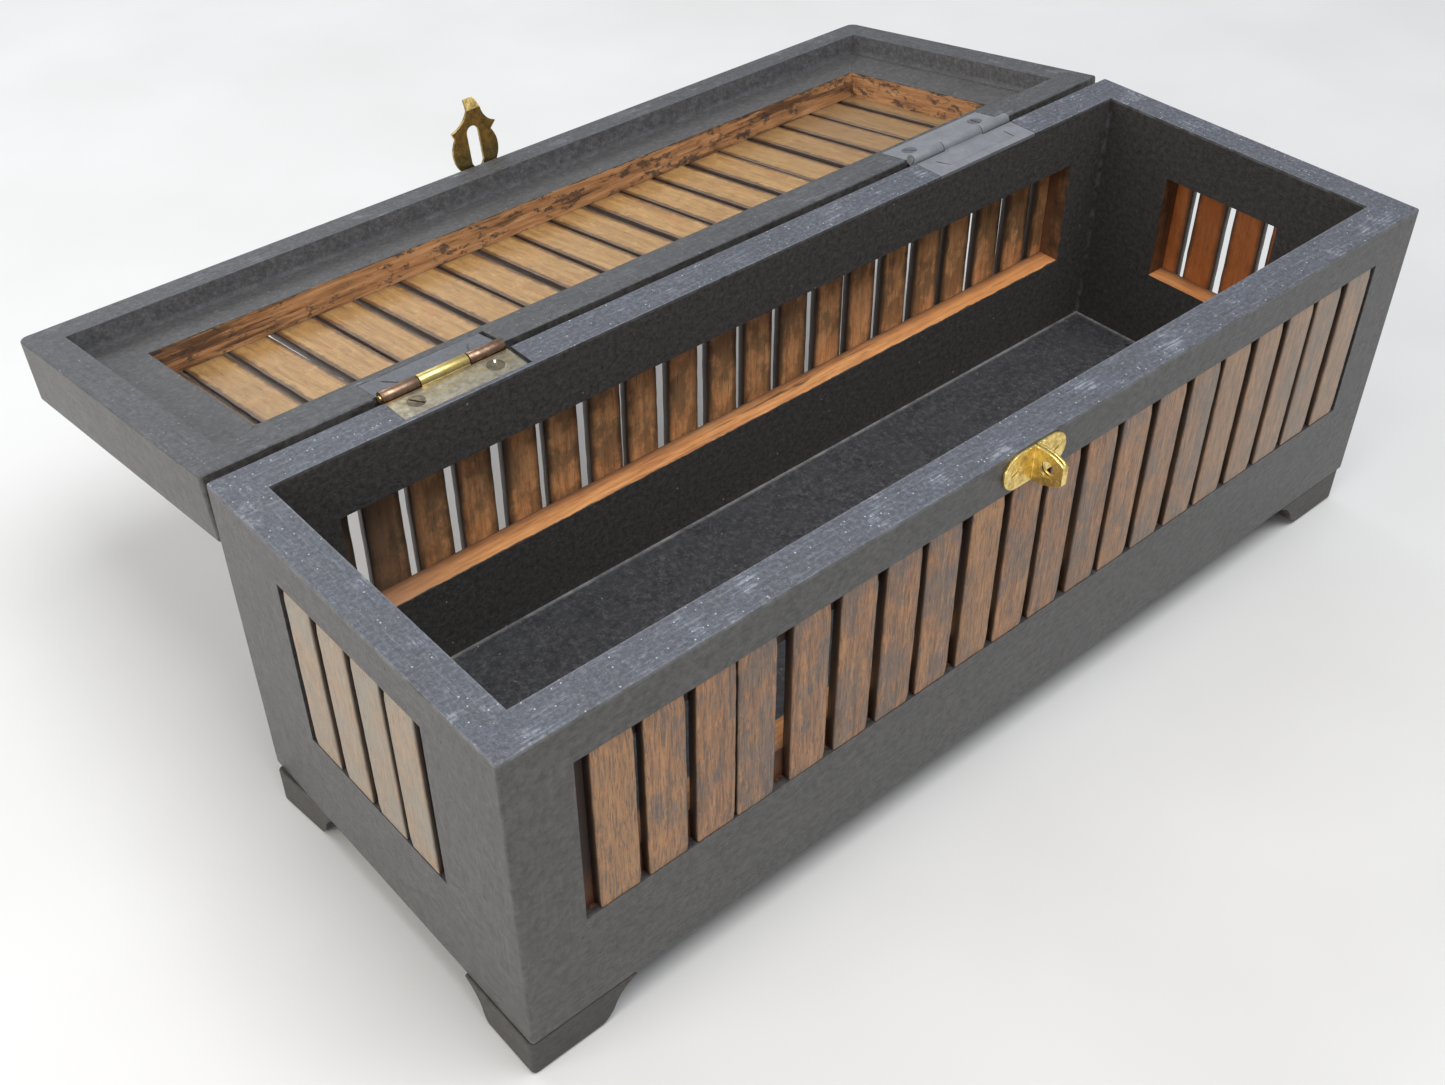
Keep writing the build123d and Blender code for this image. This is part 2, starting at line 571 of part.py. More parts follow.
def main():
    os.makedirs("parts", exist_ok=True)
    hinges = {"left": butt_hinge(**LEFT_HINGE), "right": butt_hinge(**RIGHT_HINGE)}
    latch_leaf, latch_plate, latch_pin, latch_screws = hasp()
    staple_sheet, staple_nails = staple()

    # Floor panel, and the groove that it fits
    floor_x = HALF_LENGTH - END_THICK + GROOVE_DEPTH
    floor_y = HALF_WIDTH - SIDE_THICK + GROOVE_DEPTH
    floor = cuboid((-floor_x, floor_x), (-floor_y, floor_y), (FLOOR_TOP - FLOOR_THICK, FLOOR_TOP))
    save(floor, "floor_panel")

    # Walls
    case = rounded_box(
        (-HALF_LENGTH, HALF_LENGTH),
        (-HALF_WIDTH, HALF_WIDTH),
        (FOOT_HEIGHT, RIM_Z),
        WALL_EDGE_ROUND,
        WALL_EDGE_ROUND,
        WALL_FOOT_ROUND,
        RIM_ROUND,
    )
    walls = {
        "front": (HALF_LENGTH, HALF_WIDTH, SIDE_THICK, END_THICK, SIDE_STILE, 0),
        "right": (HALF_WIDTH, HALF_LENGTH, END_THICK, SIDE_THICK, END_STILE, 90),
        "back": (HALF_LENGTH, HALF_WIDTH, SIDE_THICK, END_THICK, SIDE_STILE, 180),
        "left": (HALF_WIDTH, HALF_LENGTH, END_THICK, SIDE_THICK, END_STILE, 270),
    }
    for side, (half_length, half_depth, thick, next_thick, stile, turn) in walls.items():
        window, members = wall(half_length, half_depth, thick, next_thick, stile, turn)
        for name, member in members.items():
            member = (member & case) - floor
            if (side, name) == ("back", "top_rail"):
                for _, cuts in hinges.values():
                    member = member - cuts["box"]
            if (side, name) == ("front", "top_rail"):
                member = member - staple_nails
            save(member, f"{side}_{name}")
        slats = wall_slats(SLAT_ROWS[side], window, half_depth, turn)
        if side in ("front", "back"):
            save(Compound(children=slats), f"{side}_slats")
        else:
            for i, slat in enumerate(slats):
                save(slat, f"{side}_slat_{i + 1}")

    # Feet: glued on by hand, so two of them sit a little off the walls' faces
    save(foot(-1, -1, -0.5, 0.1, 0), "front_left_foot")
    save(foot(1, -1, -1.0, 0.3, 0), "front_right_foot")
    save(foot(1, 1, -0.4, -0.3, 0), "back_right_foot")
    save(foot(-1, 1, -1.3, -2.5, 5.0), "back_left_foot")

    # Hinges
    for side, (pieces, _) in hinges.items():
        save(pieces["box_leaf"], f"{side}_hinge_box_leaf")
        save(opened(pieces["lid_leaf"]), f"{side}_hinge_lid_leaf")
        save(pieces["pin"], f"{side}_hinge_pin")
    left, right = hinges["left"][0], hinges["right"][0]
    save(Compound(children=left["box_screws"] + right["box_screws"]), "hinge_screws_box")
    lid_screws = [opened(screw) for screw in left["lid_screws"] + right["lid_screws"]]
    save(Compound(children=lid_screws), "hinge_screws_lid")

    # Lid
    lid_hull = rounded_box(
        (-HALF_LENGTH, HALF_LENGTH),
        (-HALF_WIDTH, HALF_WIDTH),
        (LID_RIM_Z, LID_TOP_Z),
        LID_HASP_CORNER_ROUND,
        LID_HINGE_CORNER_ROUND,
        RIM_ROUND,
        LID_TOP_ROUND,
    )
    for name, rail in lid_rails().items():
        rail = rail & lid_hull
        if name == "lid_back_rail":
            for _, cuts in hinges.values():
                rail = rail - cuts["lid"]
        if name == "lid_front_rail":
            rail = rail - latch_screws
        save(opened(rail), name)
    members, slats = lid_panel()
    for name, member in members.items():
        save(opened(member), f"lid_panel_{name}")
    save(Compound(children=[opened(slat) for slat in slats]), "lid_slats")

    # Hasp and staple
    save(opened(latch_leaf), "hasp_lid_leaf")
    save(opened(latch_plate), "hasp_plate")
    save(opened(latch_pin), "hasp_pin")
    save(Compound(children=[opened(screw) for screw in latch_screws]), "hasp_screws")
    save(staple_sheet, "staple")
    save(Compound(children=staple_nails), "staple_nails")


if __name__ == "__main__":
    main()
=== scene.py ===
import json
import math
import random
from types import SimpleNamespace

import bmesh
import bpy
from mathutils import Matrix, Vector


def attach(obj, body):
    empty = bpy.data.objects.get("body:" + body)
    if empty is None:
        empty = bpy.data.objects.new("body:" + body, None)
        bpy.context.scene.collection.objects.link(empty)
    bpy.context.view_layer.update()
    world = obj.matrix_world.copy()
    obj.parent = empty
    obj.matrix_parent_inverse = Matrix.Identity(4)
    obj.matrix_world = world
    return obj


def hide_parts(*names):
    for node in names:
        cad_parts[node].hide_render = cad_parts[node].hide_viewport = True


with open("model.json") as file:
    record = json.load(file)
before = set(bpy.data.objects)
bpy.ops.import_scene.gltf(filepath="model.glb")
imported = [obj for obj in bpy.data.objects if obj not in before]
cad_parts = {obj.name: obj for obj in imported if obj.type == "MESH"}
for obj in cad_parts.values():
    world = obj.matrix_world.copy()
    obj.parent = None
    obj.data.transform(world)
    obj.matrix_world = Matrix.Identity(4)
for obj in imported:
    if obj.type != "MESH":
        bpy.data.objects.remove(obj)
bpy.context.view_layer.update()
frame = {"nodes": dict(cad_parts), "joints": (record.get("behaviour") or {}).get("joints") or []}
NODES = frame["nodes"]
JOINTS = {j["name"]: j for j in frame["joints"]}

# The lid is modelled open: its materials and its slats are worked out as if it were shut
LID_AXIS = Vector(JOINTS["lid_hinge"]["pos_m"])
LID_TURN = math.radians(JOINTS["lid_hinge"]["range_deg"][1])
SHUT = Matrix.Translation(LID_AXIS) @ Matrix.Rotation(LID_TURN, 4, "X") @ Matrix.Translation(-LID_AXIS)

MM = 0.001

# The box: its outer half sizes, its walls, its rim, and the windows in its walls
HALF_LENGTH, HALF_WIDTH = 165 * MM, 58.5 * MM
END_THICKNESS, SIDE_THICKNESS = 10.5 * MM, 11.0 * MM
INNER_HALF_LENGTH, INNER_HALF_WIDTH = HALF_LENGTH - END_THICKNESS, HALF_WIDTH - SIDE_THICKNESS
RIM_Z = 108 * MM
WINDOW_LOW, WINDOW_HIGH = 44 * MM, 96 * MM
MITRE_HEEL_Y = 41.5 * MM

# The lid when shut: its rim, the inner face of its frame, its outer side, and the space inside its rails
LID_RIM_Z, LID_FACE_Z, LID_OUTER_Z = 109.4 * MM, 116.0 * MM, 127.0 * MM
LID_INNER_HALF_LENGTH, LID_INNER_HALF_WIDTH = 155.4 * MM, 47.9 * MM


# ---------------------------------------------------------------- node graphs


class Graph:
    """A material's node tree, with short calls for the nodes used here."""

    def __init__(self, name, roughness=0.5, metallic=0.0, specular=0.5):
        self.material = bpy.data.materials.new(name)
        self.material.use_nodes = True
        self.tree = self.material.node_tree
        self.shader = self.tree.nodes["Principled BSDF"]
        self.shader.inputs["Roughness"].default_value = roughness
        self.shader.inputs["Metallic"].default_value = metallic
        self.shader.inputs["Specular IOR Level"].default_value = specular

    def put(self, kind, inputs=(), **settings):
        """A new node, with these values or links on its inputs."""
        node = self.tree.nodes.new(kind)
        for name, value in settings.items():
            setattr(node, name, value)
        for key, value in dict(inputs).items():
            self.feed(node.inputs[key], value)
        return node

    def feed(self, socket, value):
        if isinstance(value, bpy.types.NodeSocket):
            self.tree.links.new(value, socket)
        elif value is not None:
            socket.default_value = value

    def math(self, operation, a, b=None):
        node = self.put("ShaderNodeMath", operation=operation)
        for socket, value in zip(node.inputs, (a, b)):
            self.feed(socket, value)
        return node.outputs[0]

    def plus(self, a, b):
        return self.math("ADD", a, b)

    def minus(self, a, b):
        return self.math("SUBTRACT", a, b)

    def times(self, a, b):
        return self.math("MULTIPLY", a, b)

    def higher(self, a, b):
        return self.math("MAXIMUM", a, b)

    def away(self, value):
        """How far a value is from zero."""
        return self.math("ABSOLUTE", value)

    def step(self, value, low, high):
        """0 below low, 1 above high, smooth between; low may be the larger to turn it round."""
        node = self.put("ShaderNodeMapRange", interpolation_type="SMOOTHSTEP")
        self.feed(node.inputs["Value"], value)
        if low < high:
            limits = (low, high, 0.0, 1.0)
        else:
            limits = (high, low, 1.0, 0.0)
        for name, limit in zip(("From Min", "From Max", "To Min", "To Max"), limits):
            node.inputs[name].default_value = limit
        return node.outputs["Result"]

    def scale(self, value, low, high, to_low, to_high):
        """The value carried evenly from one range to another."""
        node = self.put("ShaderNodeMapRange", {"Value": value, "From Min": low, "From Max": high})
        node.inputs["To Min"].default_value = to_low
        node.inputs["To Max"].default_value = to_high
        return node.outputs["Result"]

    def both(self, *masks):
        """Where all the masks are; a plain number is a strength."""
        result = masks[0]
        for mask in masks[1:]:
            result = self.times(result, mask)
        return result

    def inverse(self, mask):
        return self.minus(1.0, mask)

    def stretch(self, vector, factors, shift=(0, 0, 0)):
        node = self.put("ShaderNodeMapping")
        self.feed(node.inputs["Vector"], vector)
        node.inputs["Scale"].default_value = factors
        node.inputs["Location"].default_value = shift
        return node.outputs["Vector"]

    def noise(self, vector, size, detail, roughness, distortion=0.0):
        settings = {"Scale": 1.0 / size, "Detail": detail, "Roughness": roughness, "Distortion": distortion}
        node = self.put("ShaderNodeTexNoise", settings)
        self.feed(node.inputs["Vector"], vector)
        return node.outputs["Fac"]

    def specks(self, vector, size, share, radius):
        """Scattered dots about size apart, in that share of the places."""
        node = self.put("ShaderNodeTexVoronoi", {"Scale": 1.0 / size})
        self.feed(node.inputs["Vector"], vector)
        chosen = self.put("ShaderNodeSeparateColor", {"Color": node.outputs["Color"]})
        dot = self.step(node.outputs["Distance"], radius, radius * 0.5)
        return self.both(dot, self.step(chosen.outputs[0], 1 - share, 1 - share + 0.02))

    def mix(self, mask, a, b):
        """The colour a where the mask is 0, and b where it is 1."""
        node = self.put("ShaderNodeMix", data_type="RGBA")
        self.feed(node.inputs["Factor"], mask)
        self.feed(node.inputs[6], a if isinstance(a, bpy.types.NodeSocket) else (*a, 1.0))
        self.feed(node.inputs[7], b if isinstance(b, bpy.types.NodeSocket) else (*b, 1.0))
        return node.outputs[2]

    def over(self, base, colour, *masks):
        """The colour laid over the base where all the masks are."""
        return self.mix(self.both(*masks), base, colour)

    def shade(self, colour, factor):
        """The colour made darker or lighter by a factor."""
        node = self.put("ShaderNodeVectorMath", operation="SCALE")
        self.feed(node.inputs["Vector"], colour)
        self.feed(node.inputs["Scale"], factor)
        return node.outputs["Vector"]

    def ramp(self, value, stops):
        node = self.put("ShaderNodeValToRGB")
        self.feed(node.inputs["Fac"], value)
        elements = node.color_ramp.elements
        while len(elements) < len(stops):
            elements.new(0.5)
        for element, (place, colour) in zip(elements, stops):
            element.position = place
            element.color = (*colour, 1.0)
        return node.outputs["Color"]

    def split(self, vector):
        return self.put("ShaderNodeSeparateXYZ", {"Vector": vector}).outputs

    def join(self, x, y, z):
        return self.put("ShaderNodeCombineXYZ", {0: x, 1: y, 2: z}).outputs[0]

    def bump(self, height, distance):
        return self.put("ShaderNodeBump", {"Height": height, "Distance": distance}).outputs["Normal"]

    def position(self, lid=False):
        """The place in the row frame, on the lid as if it were shut."""
        place = self.put("ShaderNodeTexCoord").outputs["Object"]
        return self.turn(place, LID_AXIS) if lid else place

    def facing(self, lid=False):
        """The surface's normal in the row frame, on the lid as if it were shut."""
        normal = self.put("ShaderNodeTexCoord").outputs["Normal"]
        return self.turn(normal, (0, 0, 0)) if lid else normal

    def turn(self, vector, centre):
        """The vector turned with the lid, from open to shut."""
        node = self.put("ShaderNodeVectorRotate", rotation_type="X_AXIS")
        self.feed(node.inputs["Vector"], vector)
        node.inputs["Center"].default_value = centre
        node.inputs["Angle"].default_value = LID_TURN
        return node.outputs["Vector"]

    def finish(self, colour, roughness=None, normal=None, metallic=None):
        self.feed(self.shader.inputs["Base Color"], colour)
        self.feed(self.shader.inputs["Roughness"], roughness)
        self.feed(self.shader.inputs["Normal"], normal)
        self.feed(self.shader.inputs["Metallic"], metallic)
        return self.material


# ---------------------------------------------------------------- paint

STRETCH = {"x": (0.08, 1.0, 1.0), "y": (1.0, 0.08, 1.0), "z": (1.0, 1.0, 0.08)}

PAINT, PAINT_PALE, PAINT_PIT = (0.036, 0.0345, 0.0330), (0.056, 0.0540, 0.0520), (0.008, 0.007, 0.006)
# The feet's paint is browner than the walls' and darker as painted shade
SHADED_FOOT_PAINT, SHADED_FOOT_PAINT_PALE, SOLE_WOOD = (0.022, 0.0195, 0.0165), (0.036, 0.032, 0.027), (0.20, 0.13, 0.08)
PAINT_RELIEF, FLAT_PAINT_RELIEF = 0.17 * MM, 0.14 * MM

# Rim colours: blue-grey that is partly dust and partly a painted sheen of the sky
WALL_DUST_AND_SHEEN, LID_DUST_AND_SHEEN = (0.070, 0.078, 0.102), (0.050, 0.055, 0.068)
FINE_DUST, DUST_STREAK, DUST_SPECK = (0.25, 0.27, 0.325), (0.25, 0.27, 0.32), (0.62, 0.65, 0.69)
DUST_HOLLOW, SCUFF, WORN_EDGE_AND_HIGHLIGHT = (0.022, 0.024, 0.030), (0.36, 0.38, 0.42), (0.21, 0.22, 0.235)
JOINT_LINE, JOINT_SCUFF = (0.30, 0.31, 0.33), (0.36, 0.375, 0.41)

WALL_INSIDE = ((0.36, (0.012, 0.0115, 0.0115)), (0.50, (0.040, 0.037, 0.035)), (0.70, (0.085, 0.080, 0.075)))
WALL_LINT, WALL_CORNER = (0.26, 0.24, 0.22), (0.13, 0.13, 0.14)
LONG_INSIDE_PAINTED_LIGHT, END_INSIDE_PAINTED_SHADE = 1.15, 0.55
FLOOR_INSIDE = ((0.36, (0.006, 0.006, 0.007)), (0.5, (0.028, 0.028, 0.032)), (0.66, (0.105, 0.104, 0.112)))
FLOOR_CLOUD, FLOOR_LINT, FLOOR_RUBBED = (0.048, 0.049, 0.055), (0.34, 0.30, 0.27), (0.27, 0.265, 0.26)
LID_INSIDE = ((0.36, (0.046, 0.046, 0.048)), (0.5, (0.080, 0.080, 0.084)), (0.66, (0.145, 0.145, 0.152)))
LID_FACE, LID_FACE_LINT, LID_FACE_HOLLOW = (0.072, 0.070, 0.072), (0.16, 0.16, 0.165), (0.022, 0.022, 0.024)
LID_FACE_SPECK, LID_RAIL_RUBBED = (0.30, 0.31, 0.33), (0.19, 0.19, 0.20)

# Bare wood round the windows: three tones of grain, then stains, grime and painted shade laid over it
REVEAL_WOOD = ((0.40, 0.150, 0.055), (0.70, 0.315, 0.110), (0.88, 0.49, 0.20))
LID_WOOD = ((0.19, 0.088, 0.036), (0.39, 0.190, 0.078), (0.57, 0.330, 0.160))
WOOD_STAIN, SMEARED_PAINT, STILE_GRIME_AND_SHADE = (0.060, 0.026, 0.012), (0.024, 0.022, 0.024), (0.034, 0.018, 0.010)
LEFT_REVEAL, RIGHT_REVEAL = (0.24, 0.135, 0.100), (0.66, 0.255, 0.070)
OUTER_REVEAL_SHADE, DEEP_REVEAL_SHADE = (0.15, 0.060, 0.027), (0.035, 0.016, 0.009)
REBATE_SHADE, REBATE_SHADE_PALE = (0.016, 0.009, 0.006), (0.060, 0.025, 0.012)
LOW_REBATE_SHADE, LOW_REBATE_SHADE_PALE = (0.07, 0.024, 0.009), (0.22, 0.080, 0.028)


def paint_layers(g, position, along, low=PAINT, high=PAINT_PALE):
    """Brushed satin paint: colour, roughness and bump height, before any dust or bare wood shows."""
    streaks = g.noise(g.stretch(position, STRETCH[along]), 1.0 * MM, 5.0, 0.75)
    weave = g.noise(position, 2.0 * MM, 6.0, 0.8)
    patches = g.noise(position, 22 * MM, 4.0, 0.6)
    base = g.ramp(patches, ((0.3, low), (0.7, high)))
    paler = tuple(1.7 * c for c in high)
    base = g.over(base, paler, g.scale(streaks, 0.35, 0.75, 0.0, 0.45))
    base = g.shade(base, g.scale(weave, 0.36, 0.64, 0.48, 1.55))
    pits = g.specks(position, 5.5 * MM, 0.25, 0.09)
    base = g.over(base, PAINT_PIT, pits, 0.7)
    height = g.plus(g.times(streaks, 0.9), g.times(weave, 1.1))
    height = g.minus(height, g.times(pits, 0.6))
    roughness = g.scale(patches, 0.3, 0.7, 0.33, 0.43)
    return base, roughness, height


def dust_and_sheen(g, position, along, base, where, pale):
    """Blue-grey dust rubbed into paint with a painted sky sheen over it, fine specks, brushed streaks and a
    few scuffs.
    """
    cloud = g.noise(position, 12 * MM, 6.0, 0.65)
    fine = g.noise(position, 1.2 * MM, 5.0, 0.85)
    brushed = g.noise(g.stretch(position, STRETCH[along]), 0.8 * MM, 4.0, 0.75)
    # The blue-grey cloud is partly dust and partly a painted sky sheen on the rim
    base = g.over(base, pale, where, g.scale(cloud, 0.3, 0.7, 0.45, 0.95))
    base = g.over(base, FINE_DUST, where, g.scale(fine, 0.50, 0.68, 0.0, 0.52))
    base = g.over(base, DUST_STREAK, where, g.step(brushed, 0.52, 0.66), 0.30)
    base = g.over(base, DUST_HOLLOW, where, g.step(fine, 0.46, 0.37), 0.6)
    base = g.over(base, DUST_SPECK, where, g.specks(position, 1.2 * MM, 0.20, 0.21), 0.75)
    return g.over(base, SCUFF, where, g.step(cloud, 0.56, 0.66), g.step(brushed, 0.44, 0.60), 0.55)


def bare_wood(g, position, along, tones, stain_size, stain_from):
    """Unpainted frame wood: grain of three tones, with dark stains."""
    grain = g.noise(g.stretch(position, STRETCH[along]), 1.6 * MM, 5.0, 0.7)
    wood = g.ramp(grain, tuple(zip((0.3, 0.5, 0.72), tones)))
    stain = g.noise(g.stretch(position, STRETCH[along], (3.1, 1.7, 0.4)), stain_size, 5.0, 0.75)
    return g.over(wood, WOOD_STAIN, g.step(stain, stain_from, stain_from + 0.12), 0.85)


def wall_paint(name, along, wall):
    """A wall member: painted outside and in, with dust and a painted sky sheen on its rims, and bare wood
    with painted shade in the window's reveals.
    """
    g = Graph(name, specular=0.6)
    at = wall_marks(g, along, wall)
    base, roughness, height = paint_layers(g, at.position, along)
    inner = g.both(g.step(at.edge, 9.6 * MM, 10.2 * MM), g.inverse(at.top))
    base = g.mix(inner, base, wall_inside(g, at))
    roughness = g.higher(roughness, g.times(inner, 0.85))
    base = wall_rim(g, at, base)
    roughness = g.higher(roughness, g.times(at.rim, 0.50))
    base, unpainted = window_reveal(g, at, base)
    roughness = g.higher(roughness, g.times(unpainted, 0.65))
    return g.finish(base, roughness, g.bump(height, PAINT_RELIEF))


def wall_marks(g, along, wall):
    """What a wall's paint goes by; edge is the depth in from the wall's outer face."""
    position = g.position()
    x, y, z = g.split(position)
    nx, ny, nz = g.split(g.facing())
    top = g.step(nz, 0.5, 0.8)
    at = SimpleNamespace(position=position, x=x, y=y, z=z, along=along, wall=wall, top=top)
    if wall == "long":
        at.edge = g.minus(HALF_WIDTH, g.away(y))
        at.facing, at.thickness = ny, SIDE_THICKNESS
        at.lengthways, at.half_inside = x, INNER_HALF_LENGTH
    else:
        at.edge = g.minus(HALF_LENGTH, g.away(x))
        at.facing, at.thickness = nx, END_THICKNESS
        at.lengthways, at.half_inside = y, INNER_HALF_WIDTH
    at.rim = g.both(top, g.step(z, RIM_Z - 1.2 * MM, RIM_Z - 0.7 * MM))
    at.lint = g.noise(position, 1.7 * MM, 6.0, 0.85)
    at.patchy = g.noise(position, 6 * MM, 5.0, 0.75)
    return at


def wall_inside(g, at):
    """A flatter, blacker paint with lint on it, rubbed pale in the upright corners; painted light makes it
    lighter on the long walls and painted shade darker on the end walls.
    """
    # Painted light and shade: the same paint made lighter on the long walls and darker on the end walls
    shade = LONG_INSIDE_PAINTED_LIGHT if at.wall == "long" else END_INSIDE_PAINTED_SHADE
    inside = g.shade(g.ramp(at.lint, WALL_INSIDE), shade)
    inside = g.over(inside, WALL_LINT, g.specks(at.position, 4.5 * MM, 0.22, 0.10))
    corner = g.step(g.away(at.lengthways), at.half_inside - 1.6 * MM, at.half_inside - 0.3 * MM)
    rubbed = g.step(g.noise(at.position, 6 * MM, 5.0, 0.7), 0.40, 0.62)
    return g.over(inside, WALL_CORNER, corner, rubbed, 0.6)


def wall_rim(g, at, base):
    """Dust with a painted sky sheen and scratches on the rim, and a thin line of worn paint and painted
    highlight along its edges.
    """
    base = dust_and_sheen(g, at.position, at.along, base, at.rim, WALL_DUST_AND_SHEEN)
    # A thin pale line along both rim edges: worn paint with a painted highlight
    to_edge = g.math("MINIMUM", at.edge, g.minus(at.thickness, at.edge))
    worn = g.both(g.step(at.z, RIM_Z - 1.1 * MM, RIM_Z - 0.5 * MM), g.step(to_edge, 0.6 * MM, 0.1 * MM))
    base = g.over(base, WORN_EDGE_AND_HIGHLIGHT, worn, g.scale(at.patchy, 0.35, 0.68, 0.0, 0.55))
    if at.wall == "long":
        return base
    # The end walls' top rails stop at the mitre's heel, where the joint shows and the paint is scuffed
    joint = g.away(g.minus(g.away(at.y), MITRE_HEEL_Y))
    line = g.both(at.rim, g.step(joint, 0.55 * MM, 0.15 * MM), g.step(at.patchy, 0.40, 0.58))
    base = g.over(base, JOINT_LINE, line, 0.35)
    near = g.both(at.rim, g.step(joint, 7 * MM, 1 * MM))
    return g.over(base, JOINT_SCUFF, near, g.step(at.patchy, 0.50, 0.62), g.step(at.lint, 0.46, 0.60), 0.5)


def window_reveal(g, at, base):
    """Bare wood on the window's faces that run through the wall, darkened towards the slats by painted shade,
    and near-black painted shade over the bare wood down in the rebate.

    Gives the colour and the mask of what is unpainted.
    """
    above_sill = g.step(at.z, WINDOW_LOW - 0.5 * MM, WINDOW_LOW - 0.2 * MM)
    below_head = g.step(at.z, WINDOW_HIGH + 0.6 * MM, WINDOW_HIGH + 0.2 * MM)
    in_window = g.both(above_sill, below_head)
    through = g.step(g.away(at.facing), 0.6, 0.4)
    creep = g.times(g.noise(at.position, 6 * MM, 4.0, 0.6), 1.8 * MM)
    short_of_inside = g.step(g.minus(at.edge, creep), 9.9 * MM, 9.5 * MM)
    short_of_outside = g.step(g.plus(at.edge, g.times(creep, 0.5)), 1.9 * MM, 2.5 * MM)
    bare = g.both(through, in_window, short_of_inside, short_of_outside, g.inverse(at.rim))

    wood = bare_wood(g, at.position, at.along, REVEAL_WOOD, 5 * MM, 0.56)
    if at.along == "z":
        # Dark patches on the upright reveals: grime with painted shade
        wood = g.over(wood, STILE_GRIME_AND_SHADE, g.scale(at.patchy, 0.38, 0.62, 0.95, 0.76))
    else:
        wood = g.over(wood, LEFT_REVEAL, g.step(at.x, -90 * MM, -145 * MM), 0.7)
        wood = g.over(wood, RIGHT_REVEAL, g.step(at.x, 20 * MM, 130 * MM), 0.45)
    # Painted shade: the reveal's bare wood darkened towards the slats, and near black right beside them
    wood = g.over(wood, OUTER_REVEAL_SHADE, g.step(g.plus(at.edge, creep), 8.0 * MM, 3.6 * MM), 0.85)
    wood = g.over(wood, DEEP_REVEAL_SHADE, g.step(at.edge, 3.6 * MM, 2.8 * MM), g.step(at.lint, 0.62, 0.45))
    base = g.mix(bare, base, wood)

    # Painted shade: the rebate's bare wood coloured near black, less dark low down
    from_ledge, to_slats = g.step(at.edge, 2.4 * MM, 2.8 * MM), g.step(at.edge, 3.6 * MM, 3.2 * MM)
    rebate = g.both(g.inverse(through), in_window, from_ledge, to_slats)
    base = g.mix(rebate, base, g.mix(at.lint, REBATE_SHADE, REBATE_SHADE_PALE))
    low_rebate = g.both(rebate, g.step(g.minus(at.z, creep), 58 * MM, 46 * MM))
    base = g.mix(low_rebate, base, g.mix(at.lint, LOW_REBATE_SHADE, LOW_REBATE_SHADE_PALE))
    return base, g.higher(bare, rebate)


def lid_rail_paint(name, along):
    """A rail of the lid: linty inside, rubbed beside the frame, and a little dust with a painted sky sheen on
    its rim.
    """
    g = Graph(name, specular=0.6)
    position = g.position(lid=True)
    x, y, z = g.split(position)
    down = g.step(g.split(g.facing(lid=True))[2], -0.5, -0.8)
    base, roughness, height = paint_layers(g, position, along)
    inside_ends = g.step(g.away(x), LID_INNER_HALF_LENGTH + 0.2 * MM, LID_INNER_HALF_LENGTH - 0.2 * MM)
    inside_sides = g.step(g.away(y), LID_INNER_HALF_WIDTH + 0.2 * MM, LID_INNER_HALF_WIDTH - 0.2 * MM)
    inside = g.both(inside_ends, inside_sides, g.inverse(down))
    base = g.mix(inside, base, g.ramp(g.noise(position, 1.8 * MM, 6.0, 0.85), LID_INSIDE))
    by_the_frame = g.step(z, LID_FACE_Z - 3.0 * MM, LID_FACE_Z - 0.8 * MM)
    cloud = g.noise(position, 7 * MM, 5.0, 0.7)
    base = g.over(base, LID_RAIL_RUBBED, inside, by_the_frame, g.scale(cloud, 0.3, 0.7, 0.1, 0.75))
    rim = g.both(down, g.step(z, LID_RIM_Z + 0.2 * MM, LID_RIM_Z - 0.2 * MM))
    base = dust_and_sheen(g, position, along, base, g.both(rim, 0.45), LID_DUST_AND_SHEEN)
    roughness = g.higher(roughness, g.times(g.higher(inside, rim), 0.55))
    return g.finish(base, roughness, g.bump(height, PAINT_RELIEF))


def lid_frame_paint(name, along):
    """A member of the frame let into the lid: a rubbed inner face, and bare stained wood round its window."""
    g = Graph(name, specular=0.6)
    position = g.position(lid=True)
    z = g.split(position)[2]
    nz = g.split(g.facing(lid=True))[2]
    down = g.step(nz, -0.5, -0.8)
    base, roughness, height = paint_layers(g, position, along)
    face = g.both(down, g.step(z, LID_FACE_Z + 0.2 * MM, LID_FACE_Z - 0.2 * MM))
    cloud = g.noise(position, 7 * MM, 5.0, 0.7)
    fine = g.noise(position, 1.7 * MM, 6.0, 0.85)
    base = g.over(base, LID_FACE, face, g.scale(cloud, 0.3, 0.7, 0.3, 0.9))
    base = g.over(base, LID_FACE_LINT, face, g.step(fine, 0.50, 0.66), 0.5)
    base = g.over(base, LID_FACE_HOLLOW, face, g.step(fine, 0.48, 0.34), 0.6)
    base = g.over(base, LID_FACE_SPECK, face, g.specks(position, 2.4 * MM, 0.15, 0.14), 0.7)

    outside = g.both(g.step(nz, 0.6, 0.9), g.step(z, LID_OUTER_Z - 0.2 * MM, LID_OUTER_Z + 0.1 * MM))
    through = g.both(g.inverse(down), g.inverse(outside))
    wood = bare_wood(g, position, along, LID_WOOD, 4.5 * MM, 0.50)
    smeared = g.noise(g.stretch(position, (0.5, 0.5, 1.0)), 3.5 * MM, 5.0, 0.75)
    wood = g.over(wood, SMEARED_PAINT, g.step(smeared, 0.52, 0.60), 0.8)
    creep = g.times(g.noise(position, 5 * MM, 4.0, 0.6), 1.6 * MM)
    bare = g.both(through, g.step(g.plus(z, creep), LID_FACE_Z + 0.2 * MM, LID_FACE_Z + 0.5 * MM))
    base = g.mix(bare, base, wood)
    roughness = g.higher(roughness, g.times(g.higher(bare, face), 0.55))
    return g.finish(base, roughness, g.bump(height, PAINT_RELIEF))


